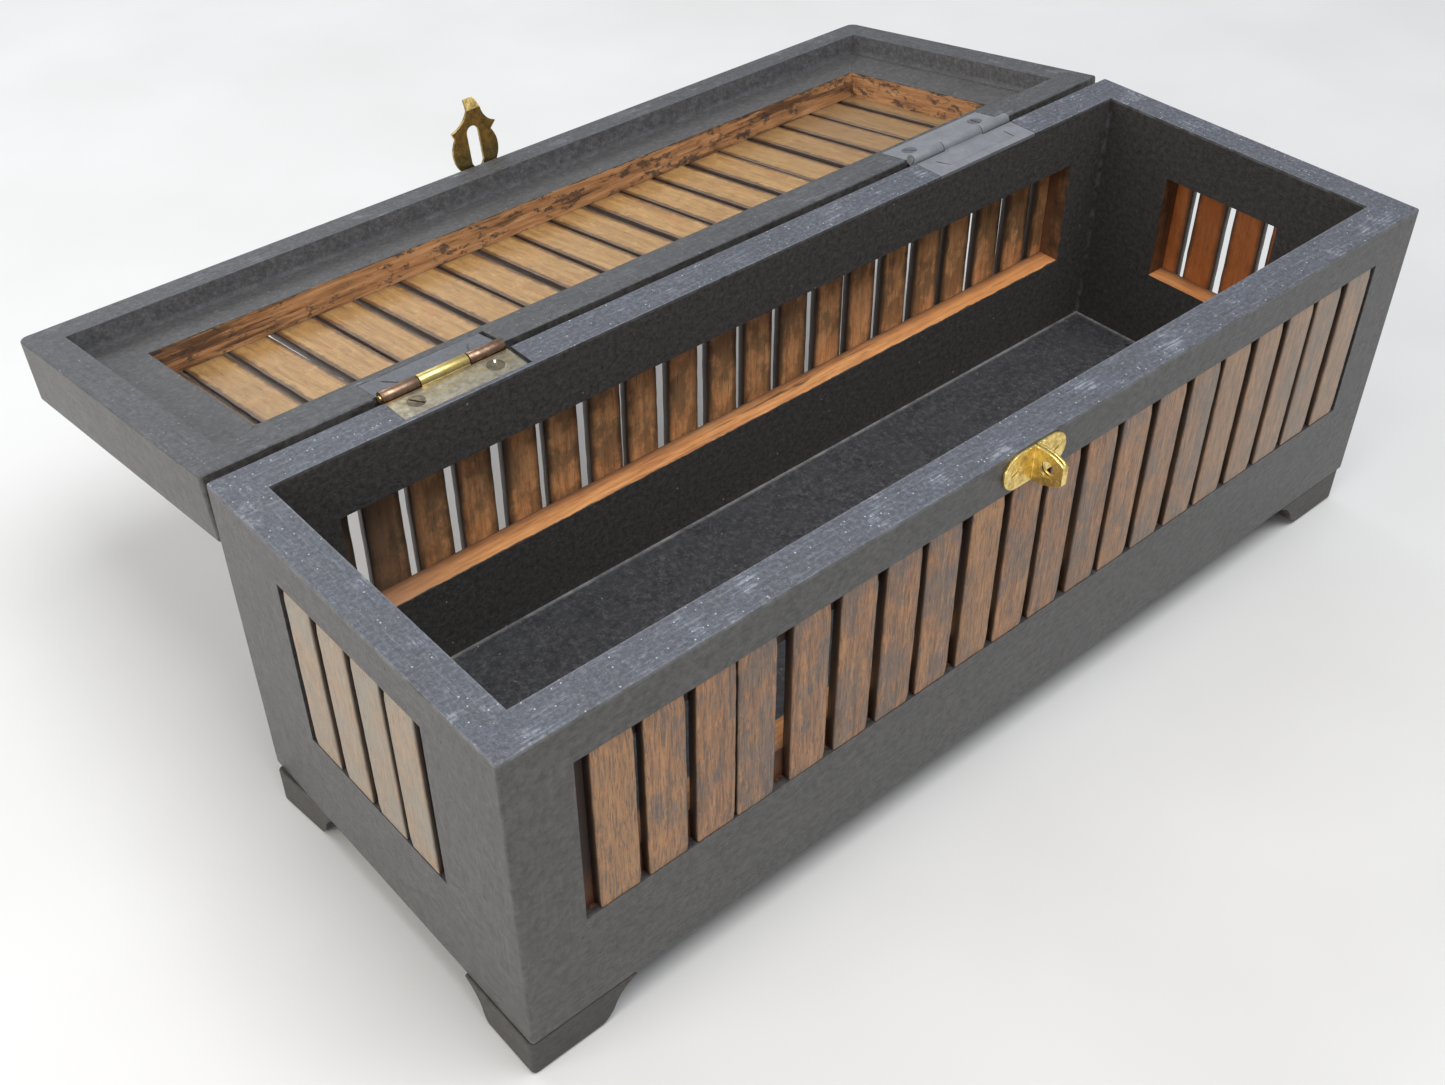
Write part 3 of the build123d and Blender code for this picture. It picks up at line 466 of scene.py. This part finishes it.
def floor_paint():
    """The floor board: flat black paint with lint, rubbed pale along the walls."""
    g = Graph("floor_paint_look", roughness=0.68)
    position = g.position()
    x, y = g.split(position)[:2]
    height = paint_layers(g, position, "x")[2]
    base = g.ramp(g.noise(position, 1.7 * MM, 6.0, 0.85), FLOOR_INSIDE)
    base = g.over(base, FLOOR_CLOUD, g.scale(g.noise(position, 13 * MM, 5.0, 0.7), 0.35, 0.7, 0.0, 0.6))
    base = g.over(base, FLOOR_LINT, g.specks(position, 3.2 * MM, 0.25, 0.08))
    by_sides = g.step(g.away(y), INNER_HALF_WIDTH - 1.7 * MM, INNER_HALF_WIDTH - 0.3 * MM)
    by_ends = g.step(g.away(x), INNER_HALF_LENGTH - 1.9 * MM, INNER_HALF_LENGTH - 0.3 * MM)
    patches = g.scale(g.noise(position, 7 * MM, 5.0, 0.75), 0.35, 0.65, 0.25, 0.95)
    base = g.over(base, FLOOR_RUBBED, g.higher(by_sides, by_ends), patches)
    return g.finish(base, normal=g.bump(height, FLAT_PAINT_RELIEF))


def foot_paint():
    """A foot: browner, duller paint, darker than the walls' paint as painted shade, worn to the wood along
    its sole.
    """
    g = Graph("shaded_foot_paint_look", specular=0.6)
    position = g.position()
    base, roughness, height = paint_layers(g, position, "x", SHADED_FOOT_PAINT, SHADED_FOOT_PAINT_PALE)
    low = g.step(g.split(position)[2], 1.6 * MM, 0.2 * MM)
    base = g.over(base, SOLE_WOOD, low, g.step(g.noise(position, 3 * MM, 5.0, 0.7), 0.45, 0.6), 0.5)
    return g.finish(base, g.plus(roughness, 0.12), g.bump(height, FLAT_PAINT_RELIEF))


# ---------------------------------------------------------------- slat wood

SLAT_OUTSIDE = ((0.3, (0.140, 0.062, 0.023)), (0.5, (0.305, 0.133, 0.042)), (0.72, (0.475, 0.228, 0.077)))
OUTSIDE_ORANGE, OUTSIDE_BUFF, LIGHT_FIBRE = (0.50, 0.190, 0.052), (0.35, 0.185, 0.064), (0.56, 0.32, 0.14)
OUTSIDE_GREY, GREY_FIBRE = (0.112, 0.092, 0.078), (0.058, 0.050, 0.046)
OUTSIDE_PAINTED_SHEEN, END_SLAT_PAINTED_SHEEN = (0.33, 0.290, 0.235), (0.285, 0.262, 0.205)

WALL_SLAT_INSIDE = ((0.28, (0.30, 0.160, 0.078)), (0.5, (0.67, 0.350, 0.155)), (0.74, (0.84, 0.48, 0.230)))
INSIDE_RED, INSIDE_SMUDGE, INSIDE_FLECK = (0.55, 0.200, 0.070), (0.120, 0.088, 0.048), (0.055, 0.040, 0.026)
INSIDE_LEFT_END, INSIDE_RIGHT_END = (0.062, 0.060, 0.048), (0.30, 0.074, 0.008)
INSIDE_EDGE = (0.034, 0.027, 0.018)

LID_SLAT_INSIDE = ((0.28, (0.23, 0.115, 0.036)), (0.5, (0.365, 0.203, 0.068)), (0.74, (0.49, 0.300, 0.120)))
LID_SLAT_RED, LID_SLAT_BROWN = (0.42, 0.20, 0.070), (0.19, 0.110, 0.052)
LID_SLAT_YELLOW, LID_SLAT_TAN, LID_SLAT_TIP = (0.53, 0.345, 0.145), (0.34, 0.21, 0.085), (0.15, 0.080, 0.040)
LID_SLAT_EDGE, LID_SLAT_RIGHT_END = (0.072, 0.035, 0.017), (0.17, 0.105, 0.058)

PORE, SLAT_SIDE_SHADE = (0.050, 0.028, 0.017), (0.030, 0.016, 0.009)
GRAIN_RELIEF = 0.13 * MM


def slat_wood(name, lid=False, painted_sheen=False):
    """Slat wood, from each slat's own coordinates: U across, V along, and a number of its own."""
    g = Graph(name, specular=0.7)
    own = g.put("ShaderNodeAttribute", attribute_name="slat_place").outputs["Vector"]
    kind = g.put("ShaderNodeAttribute", attribute_name="slat_kind").outputs["Vector"]
    u, v, depth = g.split(own)
    number, inward, side = g.split(kind)

    def place(squash, apart):
        """V squashed for the grain, and each slat set well apart from the next."""
        return g.join(u, g.times(v, squash), g.plus(depth, g.times(number, apart)))

    long_place, short_place, round_place = place(0.06, 0.7), place(0.08, 0.8), place(0.6, 0.9)
    fine = g.noise(long_place, 0.42 * MM, 4.0, 0.7)
    at = SimpleNamespace(
        u=u,
        v=v,
        x=g.split(g.position())[0],
        grain=g.noise(long_place, 1.7 * MM, 5.0, 0.65, 0.4),
        flecks=g.noise(short_place, 0.50 * MM, 4.0, 0.75, 0.8),
        blotch=g.noise(round_place, 9 * MM, 5.0, 0.65),
        mottle=g.noise(round_place, 2.6 * MM, 5.0, 0.75),
        tone=g.math("FRACT", g.times(number, 7.31)),
    )
    inner = lid_slat_inside(g, at) if lid else wall_slat_inside(g, at)
    colour = g.mix(inward, slat_outside(g, at, painted_sheen), inner)
    colour = g.over(colour, PORE, g.step(fine, 0.56, 0.68), 0.6)
    # Painted shade: the slats' sides, down in the gaps, coloured near black
    colour = g.over(colour, SLAT_SIDE_SHADE, side, 0.85)
    height = g.plus(g.times(at.grain, 0.5), g.times(fine, 0.7))
    height = g.plus(height, g.times(at.flecks, 0.8))
    roughness = g.scale(at.flecks, 0.3, 0.7, 0.30, 0.46)
    return g.finish(colour, roughness, g.bump(height, GRAIN_RELIEF))


def slat_outside(g, at, painted_sheen):
    """Oiled orange brown with short grey fibres and whole patches gone grey, with a pale painted sheen
    towards the right and, on the end walls' slats, in patches.
    """
    wood = g.ramp(at.grain, SLAT_OUTSIDE)
    wood = g.over(wood, OUTSIDE_ORANGE, g.step(at.mottle, 0.50, 0.62), 0.75)
    wood = g.over(wood, OUTSIDE_BUFF, g.step(at.tone, 0.35, 0.05), 0.35)
    grey = g.plus(g.times(at.blotch, 0.60), g.times(at.mottle, 0.40))
    grey = g.plus(grey, g.times(at.tone, 0.11))
    wood = g.over(wood, OUTSIDE_GREY, g.step(grey, 0.53, 0.63), 0.70)
    wood = g.over(wood, GREY_FIBRE, g.step(at.flecks, 0.49, 0.60), 0.70)
    # Painted sheen: a pale grey wash growing towards the right
    wood = g.over(wood, OUTSIDE_PAINTED_SHEEN, g.step(at.x, -20 * MM, 150 * MM), 0.42)
    wood = g.over(wood, LIGHT_FIBRE, g.step(at.flecks, 0.45, 0.36), 0.25)
    # Painted sheen on the end walls' slats: pale grey-tan in patches
    if painted_sheen:
        wood = g.over(wood, END_SLAT_PAINTED_SHEEN, g.scale(at.blotch, 0.3, 0.7, 0.45, 0.75))
    return wood


def lid_slat_inside(g, at):
    """Bare paler wood, dark along each slat's edges, browner at its tips and towards the lid's right end."""
    wood = g.ramp(at.grain, LID_SLAT_INSIDE)
    wood = g.over(wood, LID_SLAT_RED, g.step(at.blotch, 0.50, 0.66), 0.6)
    wood = g.over(wood, LID_SLAT_BROWN, g.step(at.mottle, 0.55, 0.68), 0.6)
    wood = g.over(wood, LID_SLAT_YELLOW, g.step(at.mottle, 0.46, 0.36), 0.5)
    wood = g.over(wood, LID_SLAT_TAN, at.tone, 0.35)
    tips = g.plus(g.away(at.v), g.times(at.blotch, 16 * MM))
    wood = g.over(wood, LID_SLAT_TIP, g.step(tips, 36 * MM, 43 * MM), 0.65)
    margin = g.plus(g.away(at.u), g.times(at.mottle, 2.2 * MM))
    wood = g.over(wood, LID_SLAT_EDGE, g.step(margin, 5.7 * MM, 6.9 * MM), 0.85)
    darker = g.plus(at.x, g.times(at.blotch, 50 * MM))
    return g.over(wood, LID_SLAT_RIGHT_END, g.step(darker, 85 * MM, 150 * MM), 0.55)


def wall_slat_inside(g, at):
    """Bare orange wood with smudges, darker by the left wall and red in the right one, dark at its edges."""
    wood = g.ramp(at.grain, WALL_SLAT_INSIDE)
    wood = g.over(wood, INSIDE_RED, g.step(at.mottle, 0.46, 0.66), 0.6)
    wood = g.over(wood, INSIDE_SMUDGE, g.step(at.blotch, 0.46, 0.58), 0.60)
    wood = g.over(wood, INSIDE_LEFT_END, g.step(at.x, -102 * MM, -132 * MM), 0.85)
    wood = g.over(wood, INSIDE_RIGHT_END, g.step(at.x, 145 * MM, 158 * MM), 0.85)
    margin = g.plus(g.away(at.u), g.times(at.blotch, 3.0 * MM))
    wood = g.over(wood, INSIDE_EDGE, g.step(margin, 4.8 * MM, 6.8 * MM), 0.8)
    return g.over(wood, INSIDE_FLECK, g.step(at.flecks, 0.54, 0.68), 0.45)


# ---------------------------------------------------------------- brass

# Pairs from worn to tarnished
YELLOW, OLIVE = (0.66, 0.52, 0.20), (0.40, 0.31, 0.11)
COPPER, UMBER = (0.34, 0.225, 0.155), (0.17, 0.105, 0.070)
SILVER_TAN, SMOKE = (0.44, 0.39, 0.30), (0.25, 0.22, 0.165)
SCREW_TAN, SCREW_SMOKE = (0.26, 0.22, 0.155), (0.13, 0.11, 0.08)
STAPLE_GOLD, STAPLE_BROWN = (0.95, 0.74, 0.27), (0.50, 0.33, 0.085)
HASP_GOLD, HASP_BROWN = (0.50, 0.37, 0.13), (0.19, 0.135, 0.050)

LEAF_YELLOWED = (0.42, 0.33, 0.12)
HINGE_PAINT, HINGE_PAINT_PALE = (0.200, 0.208, 0.228), (0.25, 0.26, 0.28)
DARK_HINGE_PAINT = (0.095, 0.100, 0.113)
BRASS_RELIEF, LEAF_RELIEF, PAINTED_RELIEF = 0.16 * MM, 0.12 * MM, 0.14 * MM


def brass_layers(g, position, bright, dull, tarnish, dents):
    """Brass with tarnish in patches and fine scratches: colour, roughness and bump height."""
    patches = g.noise(position, 2.6 * MM, 5.0, 0.7)
    scratch = g.noise(g.stretch(position, (0.12, 1.0, 0.6)), 0.30 * MM, 3.0, 0.7)
    colour = g.ramp(patches, ((tarnish - 0.12, bright), (tarnish + 0.12, dull)))
    colour = g.over(colour, bright, g.step(scratch, 0.58, 0.70), 0.5)
    roughness = g.scale(patches, tarnish - 0.15, tarnish + 0.2, 0.28, 0.55)
    hollows = g.noise(position, 1.6 * MM, 2.0, 0.5)
    height = g.plus(g.times(hollows, dents), g.times(scratch, 0.15))
    return colour, roughness, height


def brass(name, bright, dull, tarnish, lid=False, dents=1.0):
    """Sheet or drawn brass."""
    g = Graph(name, metallic=1.0)
    colour, roughness, height = brass_layers(g, g.position(lid), bright, dull, tarnish, dents)
    return g.finish(colour, roughness, g.bump(height, BRASS_RELIEF))


def painted_over(name, bright, dull, tarnish, where, lid=False, paint=HINGE_PAINT):
    """Brass that the box's paint covers in part: where(g, x, y, z) is the mask of the paint."""
    g = Graph(name)
    position = g.position(lid)
    metal, metal_roughness, metal_height = brass_layers(g, position, bright, dull, tarnish, 0.4)
    thin = tuple(0.7 * c for c in paint)
    painted = g.ramp(g.noise(position, 5 * MM, 5.0, 0.65), ((0.3, thin), (0.7, paint)))
    grit = g.noise(position, 0.5 * MM, 3.0, 0.7)
    painted = g.over(painted, HINGE_PAINT_PALE, g.scale(grit, 0.5, 0.8, 0.0, 0.6))
    mask = where(g, *g.split(position))
    bare = g.inverse(mask)
    lumps = g.noise(position, 1.1 * MM, 3.0, 0.6)
    height = g.plus(g.both(metal_height, bare), g.both(lumps, mask))
    roughness = g.higher(g.both(metal_roughness, bare), g.both(mask, 0.48))
    return g.finish(g.mix(mask, metal, painted), roughness, g.bump(height, PAINTED_RELIEF), bare)


def left_box_leaf_look():
    """The left hinge's box leaf: bright yellow on its knuckle, worn to a silvery tan on its flat wing."""
    g = Graph("left_box_leaf_look", metallic=1.0)
    position = g.position()
    y = g.split(position)[1]
    wing, roughness, height = brass_layers(g, position, SILVER_TAN, SMOKE, 0.52, 0.4)
    knuckle = brass_layers(g, position, YELLOW, OLIVE, 0.60, 0.4)[0]
    streaks = g.noise(g.stretch(position, (0.06, 1.0, 1.0)), 1.1 * MM, 4.0, 0.65)
    near_knuckle = g.step(y, 51.5 * MM, 54.5 * MM)
    wing = g.over(wing, LEAF_YELLOWED, g.step(streaks, 0.46, 0.62), near_knuckle, 0.7)
    colour = g.mix(g.step(y, 58.1 * MM, 58.5 * MM), wing, knuckle)
    return g.finish(colour, roughness, g.bump(height, LEAF_RELIEF))


def everywhere(g, x, y, z):
    """Paint all over, chipped off here and there."""
    return g.step(g.noise(g.join(x, y, z), 2.6 * MM, 5.0, 0.7), 0.72, 0.68)


def off_the_knuckles(g, x, y, z):
    """Paint on a lid leaf beyond its knuckles."""
    dy = g.minus(y, LID_AXIS.y)
    dz = g.minus(z, LID_AXIS.z)
    reach = g.math("SQRT", g.plus(g.times(dy, dy), g.times(dz, dz)))
    return g.step(reach, 2.1 * MM, 2.5 * MM)


def right_hinge_only(g, x, y, z):
    """Paint on the screws of the right hinge, and none on the left one's."""
    return g.step(x, -1 * MM, 1 * MM)


# ---------------------------------------------------------------- meshes

WELD = 2e-6
SMOOTH_BELOW, SOFTEN_ABOVE = math.radians(50), math.radians(35)
WALL_SOFTENING, FOOT_SOFTENING = 0.14 * MM, 0.3 * MM

# Slats: sections along each one, how far its edges wander and its outer face cups (in mm), and its roundings
SLAT_STEPS = 16
EDGE_WANDER, CUP_LOW, CUP_HIGH = 0.08, -0.10, 0.05
END_ROUND, END_GAP = 0.2 * MM, 0.02 * MM
OUTER_ARRIS, INNER_ARRIS, SIDE_SPLIT = 0.45 * MM, 0.2 * MM, 0.06 * MM


def islands(node):
    """The corner points of each separate solid of a CAD node."""
    source = bmesh.new()
    source.from_mesh(NODES[node].data)
    bmesh.ops.remove_doubles(source, verts=source.verts, dist=WELD)
    seen = set()
    groups = []
    for first in source.verts:
        if first in seen:
            continue
        seen.add(first)
        group, queue = [], [first]
        while queue:
            vert = queue.pop()
            group.append(vert.co.copy())
            for edge in vert.link_edges:
                other = edge.other_vert(vert)
                if other not in seen:
                    seen.add(other)
                    queue.append(other)
        groups.append(group)
    source.free()
    return groups


def slat_profile(half_wide, out, back):
    """The slat's section from its outer left arris round by the back: (u, w, how much it is a side)."""
    left = [
        (-half_wide + OUTER_ARRIS, out, 0.0),
        (-half_wide + 0.3 * OUTER_ARRIS, out - 0.3 * OUTER_ARRIS, 0.3),
        (-half_wide, out - OUTER_ARRIS, 1.0),
        (-half_wide, SIDE_SPLIT, 1.0),
        (-half_wide, -SIDE_SPLIT, 1.0),
        (-half_wide, back + INNER_ARRIS, 1.0),
        (-half_wide + INNER_ARRIS, back, 0.2),
        (-half_wide + 3 * INNER_ARRIS, back, 0.0),
    ]
    right = [(-u, w, side) for u, w, side in reversed(left)]
    back_points = [(u * half_wide, back, 0.0) for u in (-0.5, 0.0, 0.5)]
    out_points = [(u * half_wide, out, 0.0) for u in (0.5, 0.0, -0.5)]
    return left + back_points + right + out_points


def add_slat(mesh, group, axes, rng):
    """One slat lofted over a CAD slat's corners, leaning sideways as much as that one does."""
    place, kind = mesh.verts.layers.float_vector["slat_place"], mesh.verts.layers.float_vector["slat_kind"]
    across, along, outward = axes
    middle = sum(group, Vector()) / len(group)
    local = [Vector([(p - middle).dot(axis) for axis in axes]) for p in group]
    high_end = [p.x for p in local if p.y > 0]
    low_end = [p.x for p in local if p.y < 0]
    shift = (sum(high_end) / len(high_end) - sum(low_end) / len(low_end)) / 2
    half_long = max(p.y for p in local) - END_GAP
    slope = shift / half_long
    half_wide = max(abs(p.x - slope * p.y) for p in local)
    out, back = max(p.z for p in local), min(p.z for p in local)
    number = rng.uniform(0.02, 0.98)
    wander = [rng.uniform(-1, 1) * EDGE_WANDER * MM for _ in range(2 * SLAT_STEPS + 2)]
    cup = rng.uniform(CUP_LOW, CUP_HIGH) * MM
    rings = []
    for k in range(SLAT_STEPS + 1):
        v = -half_long + 2 * half_long * k / SLAT_STEPS
        end_round = 0.0 if 0 < k < SLAT_STEPS else END_ROUND
        ring = []
        for u, w, side in slat_profile(half_wide, out, back):
            uneven = wander[k] if u < 0 else wander[k + SLAT_STEPS + 1]
            reach = abs(u) / half_wide
            sag = cup * (1 - reach) if w > 0 else 0.0
            uu = u + uneven * reach - math.copysign(end_round, u) * reach
            ww = w + sag - (math.copysign(end_round, w) if abs(w) > 0.6 * out else 0.0)
            vert = mesh.verts.new(middle + across * (uu + slope * v) + along * v + outward * ww)
            vert[place] = (uu, v, ww)
            vert[kind] = (number, 1.0 if w < 0 else 0.0, side)
            ring.append(vert)
        rings.append(ring)
    for a, b in zip(rings, rings[1:]):
        for i, after in enumerate((*range(1, len(a)), 0)):
            mesh.faces.new((a[i], a[after], b[after], b[i]))
    mesh.faces.new(list(reversed(rings[0])))
    mesh.faces.new(rings[-1])


def slat_piece(name, node, axes, seed):
    """One object of all a node's slats, each with rounded arrises, uneven edges and its own grain."""
    rng = random.Random(seed)
    mesh = bmesh.new()
    for layer in ("slat_place", "slat_kind"):
        mesh.verts.layers.float_vector.new(layer)
    for group in sorted(islands(node), key=lambda group: sum(p.x + p.y for p in group) / len(group)):
        add_slat(mesh, group, axes, rng)
    bmesh.ops.recalc_face_normals(mesh, faces=mesh.faces)
    data = bpy.data.meshes.new(name)
    mesh.to_mesh(data)
    mesh.free()
    data.shade_smooth()
    data.set_sharp_from_angle(angle=SMOOTH_BELOW)
    piece = bpy.data.objects.new(name, data)
    bpy.context.scene.collection.objects.link(piece)
    return piece


def dress(node, material, softening):
    """Gives a CAD node its material and rounds its sharp edges with modifiers; its mesh stays as it is."""
    piece = NODES[node]
    piece.data.materials.clear()
    piece.data.materials.append(material)
    if not softening:
        return
    piece.modifiers.new("weld", "WELD").merge_threshold = WELD
    bevel = piece.modifiers.new("soften", "BEVEL")
    bevel.width = softening
    bevel.segments = 2
    bevel.limit_method = "ANGLE"
    bevel.angle_limit = SOFTEN_ABOVE
    bevel.harden_normals = False
    bevel.use_clamp_overlap = True


# ---------------------------------------------------------------- the box

long_rail, long_stile = wall_paint("long_wall_rail", "x", "long"), wall_paint("long_wall_stile", "z", "long")
end_rail, end_stile = wall_paint("end_wall_rail", "y", "end"), wall_paint("end_wall_stile", "z", "end")
for wall, rail, stile in (
    ("front", long_rail, long_stile),
    ("back", long_rail, long_stile),
    ("left", end_rail, end_stile),
    ("right", end_rail, end_stile),
):
    for member in ("bottom_rail", "top_rail"):
        dress(f"{wall}_{member}", rail, WALL_SOFTENING)
    for member in ("left_stile", "right_stile"):
        dress(f"{wall}_{member}", stile, WALL_SOFTENING)

dress("floor_panel", floor_paint(), 0)
foot_look = foot_paint()
for corner in ("front_left", "front_right", "back_right", "back_left"):
    dress(f"{corner}_foot", foot_look, FOOT_SOFTENING)

long_slat_look = slat_wood("long_slat_look")
end_slat_look = slat_wood("end_slat_look", painted_sheen=True)

# Each wall's axes: across its slats, along them, and outward
UP = Vector((0, 0, 1))
WALL_AXES = {
    "front": (Vector((1, 0, 0)), UP, Vector((0, -1, 0))),
    "back": (Vector((-1, 0, 0)), UP, Vector((0, 1, 0))),
    "left": (Vector((0, -1, 0)), UP, Vector((-1, 0, 0))),
    "right": (Vector((0, 1, 0)), UP, Vector((1, 0, 0))),
}
for wall_number, (wall, axes) in enumerate(WALL_AXES.items()):
    if wall in ("front", "back"):
        slat_nodes, look = [f"{wall}_slats"], long_slat_look
    else:
        slat_nodes, look = [f"{wall}_slat_{i}" for i in range(1, 5)], end_slat_look
    for i, node in enumerate(slat_nodes):
        piece = slat_piece(f"{node}_wood", node, axes, 10 * wall_number + i)
        piece.data.materials.append(look)
        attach(piece, "box")
        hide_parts(node)

# ---------------------------------------------------------------- the lid

lid_rail_x, lid_rail_y = lid_rail_paint("lid_long_rail", "x"), lid_rail_paint("lid_end_rail", "y")
lid_frame_x, lid_frame_y = lid_frame_paint("lid_panel_rail", "x"), lid_frame_paint("lid_panel_stile", "y")
for node, look, softening in (
    ("lid_front_rail", lid_rail_x, 0.16),
    ("lid_back_rail", lid_rail_x, 0.16),
    ("lid_left_rail", lid_rail_y, 0.16),
    ("lid_right_rail", lid_rail_y, 0.16),
    ("lid_panel_bottom_rail", lid_frame_x, 0.14),
    ("lid_panel_top_rail", lid_frame_x, 0.14),
    ("lid_panel_left_stile", lid_frame_y, 0.14),
    ("lid_panel_right_stile", lid_frame_y, 0.14),
):
    dress(node, look, softening * MM)

OPEN = SHUT.inverted().to_3x3()
lid_axes = (OPEN @ Vector((1, 0, 0)), OPEN @ Vector((0, 1, 0)), OPEN @ Vector((0, 0, 1)))
lid_slats = slat_piece("lid_slats_wood", "lid_slats", lid_axes, 77)
lid_slats.data.materials.append(slat_wood("lid_slat_look", lid=True))
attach(lid_slats, "lid")
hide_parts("lid_slats")

# ---------------------------------------------------------------- metal

pin = brass("middle_knuckle_brass_look", YELLOW, OLIVE, 0.60, dents=0.5)
leaf = left_box_leaf_look()
knuckles = painted_over("left_lid_leaf_look", COPPER, UMBER, 0.50, off_the_knuckles, True, DARK_HINGE_PAINT)
hinge_paint = painted_over("hinge_paint_look", COPPER, UMBER, 0.5, everywhere)
lid_hinge_paint = painted_over("lid_hinge_paint_look", COPPER, UMBER, 0.5, everywhere, lid=True)
box_screw = painted_over("box_screw_look", SCREW_TAN, SCREW_SMOKE, 0.48, right_hinge_only)
lid_screw = painted_over("lid_screw_look", SILVER_TAN, SMOKE, 0.48, everywhere, True, DARK_HINGE_PAINT)
hasp_screw = brass("hasp_screw_look", SILVER_TAN, SMOKE, 0.48, lid=True)
staple_look = brass("staple_brass_look", STAPLE_GOLD, STAPLE_BROWN, 0.54, dents=2.2)
hasp_look = brass("hasp_brass_look", HASP_GOLD, HASP_BROWN, 0.5, lid=True)
for node, look, softening in (
    ("left_hinge_box_leaf", leaf, 0.12),
    ("left_hinge_lid_leaf", knuckles, 0.12),
    ("left_hinge_pin", pin, 0.1),
    ("right_hinge_box_leaf", hinge_paint, 0.15),
    ("right_hinge_lid_leaf", lid_hinge_paint, 0.15),
    ("right_hinge_pin", hinge_paint, 0.1),
    ("hinge_screws_box", box_screw, 0.10),
    ("hinge_screws_lid", lid_screw, 0.10),
    ("staple", staple_look, 0.16),
    ("staple_nails", staple_look, 0.10),
    ("hasp_plate", hasp_look, 0.12),
    ("hasp_lid_leaf", hasp_look, 0.12),
    ("hasp_pin", hasp_look, 0.06),
    ("hasp_screws", hasp_screw, 0.10),
):
    dress(node, look, softening * MM)

# ---------------------------------------------------------------- room

FLOOR_HALF = 4.0
FLOOR_GREY, FLOOR_GREY_PALE = (0.63, 0.625, 0.617), (0.68, 0.678, 0.675)
SKY, SKY_STRENGTH = (0.93, 0.96, 1.0, 1.0), 0.44
CAMERA_PLACE, CAMERA_AIM = (-0.27318, -0.24867, 0.34788), (-0.05103, 0.00519, 0.060)
SENSOR_WIDTH, LENS = 36.0, 41.17


def ground():
    """The plain pale floor."""
    g = Graph("studio_floor_look", roughness=0.55, specular=0.3)
    soft = g.noise(g.position(), 0.12, 3.0, 0.5)
    colour = g.ramp(soft, ((0.3, FLOOR_GREY), (0.7, FLOOR_GREY_PALE)))
    data = bpy.data.meshes.new("studio_floor")
    corners = [(x * FLOOR_HALF, y * FLOOR_HALF, 0) for x, y in ((-1, -1), (1, -1), (1, 1), (-1, 1))]
    data.from_pydata(corners, [], [(0, 1, 2, 3)])
    piece = bpy.data.objects.new("studio_floor", data)
    bpy.context.scene.collection.objects.link(piece)
    piece.data.materials.append(g.finish(colour))


def aim(piece, place, target):
    """Puts a lamp or the camera at a place, and points it at a target."""
    piece.location = place
    piece.rotation_euler = (Vector(target) - Vector(place)).to_track_quat("-Z", "Y").to_euler()


def lamp(name, place, target, size, power, colour):
    """A soft rectangular light."""
    data = bpy.data.lights.new(name, "AREA")
    data.shape = "RECTANGLE"
    data.size, data.size_y = size
    data.energy = power
    data.color = colour
    piece = bpy.data.objects.new(name, data)
    bpy.context.scene.collection.objects.link(piece)
    aim(piece, place, target)


ground()
world = bpy.data.worlds.new("studio")
bpy.context.scene.world = world
world.use_nodes = True
world.node_tree.nodes["Background"].inputs["Color"].default_value = SKY
world.node_tree.nodes["Background"].inputs["Strength"].default_value = SKY_STRENGTH
lamp("overhead", (0.10, -0.40, 1.5), (0, 0.03, 0), (1.0, 1.0), 19.0, (0.98, 0.99, 1.0))
lamp("left_window", (-1.2, 0.0, 0.60), (0, 0, 0.05), (0.9, 0.9), 10.5, (1.0, 0.93, 0.84))
lamp("back_window", (-0.2, 1.35, 0.95), (0, 0.1, 0.0), (1.6, 0.7), 9.5, (0.91, 0.96, 1.0))

camera_data = bpy.data.cameras.new("camera")
camera_data.sensor_width = SENSOR_WIDTH
camera_data.lens = LENS
camera = bpy.data.objects.new("camera", camera_data)
bpy.context.scene.collection.objects.link(camera)
aim(camera, CAMERA_PLACE, CAMERA_AIM)
bpy.context.scene.camera = camera
bpy.context.scene.view_settings.view_transform = "Standard"
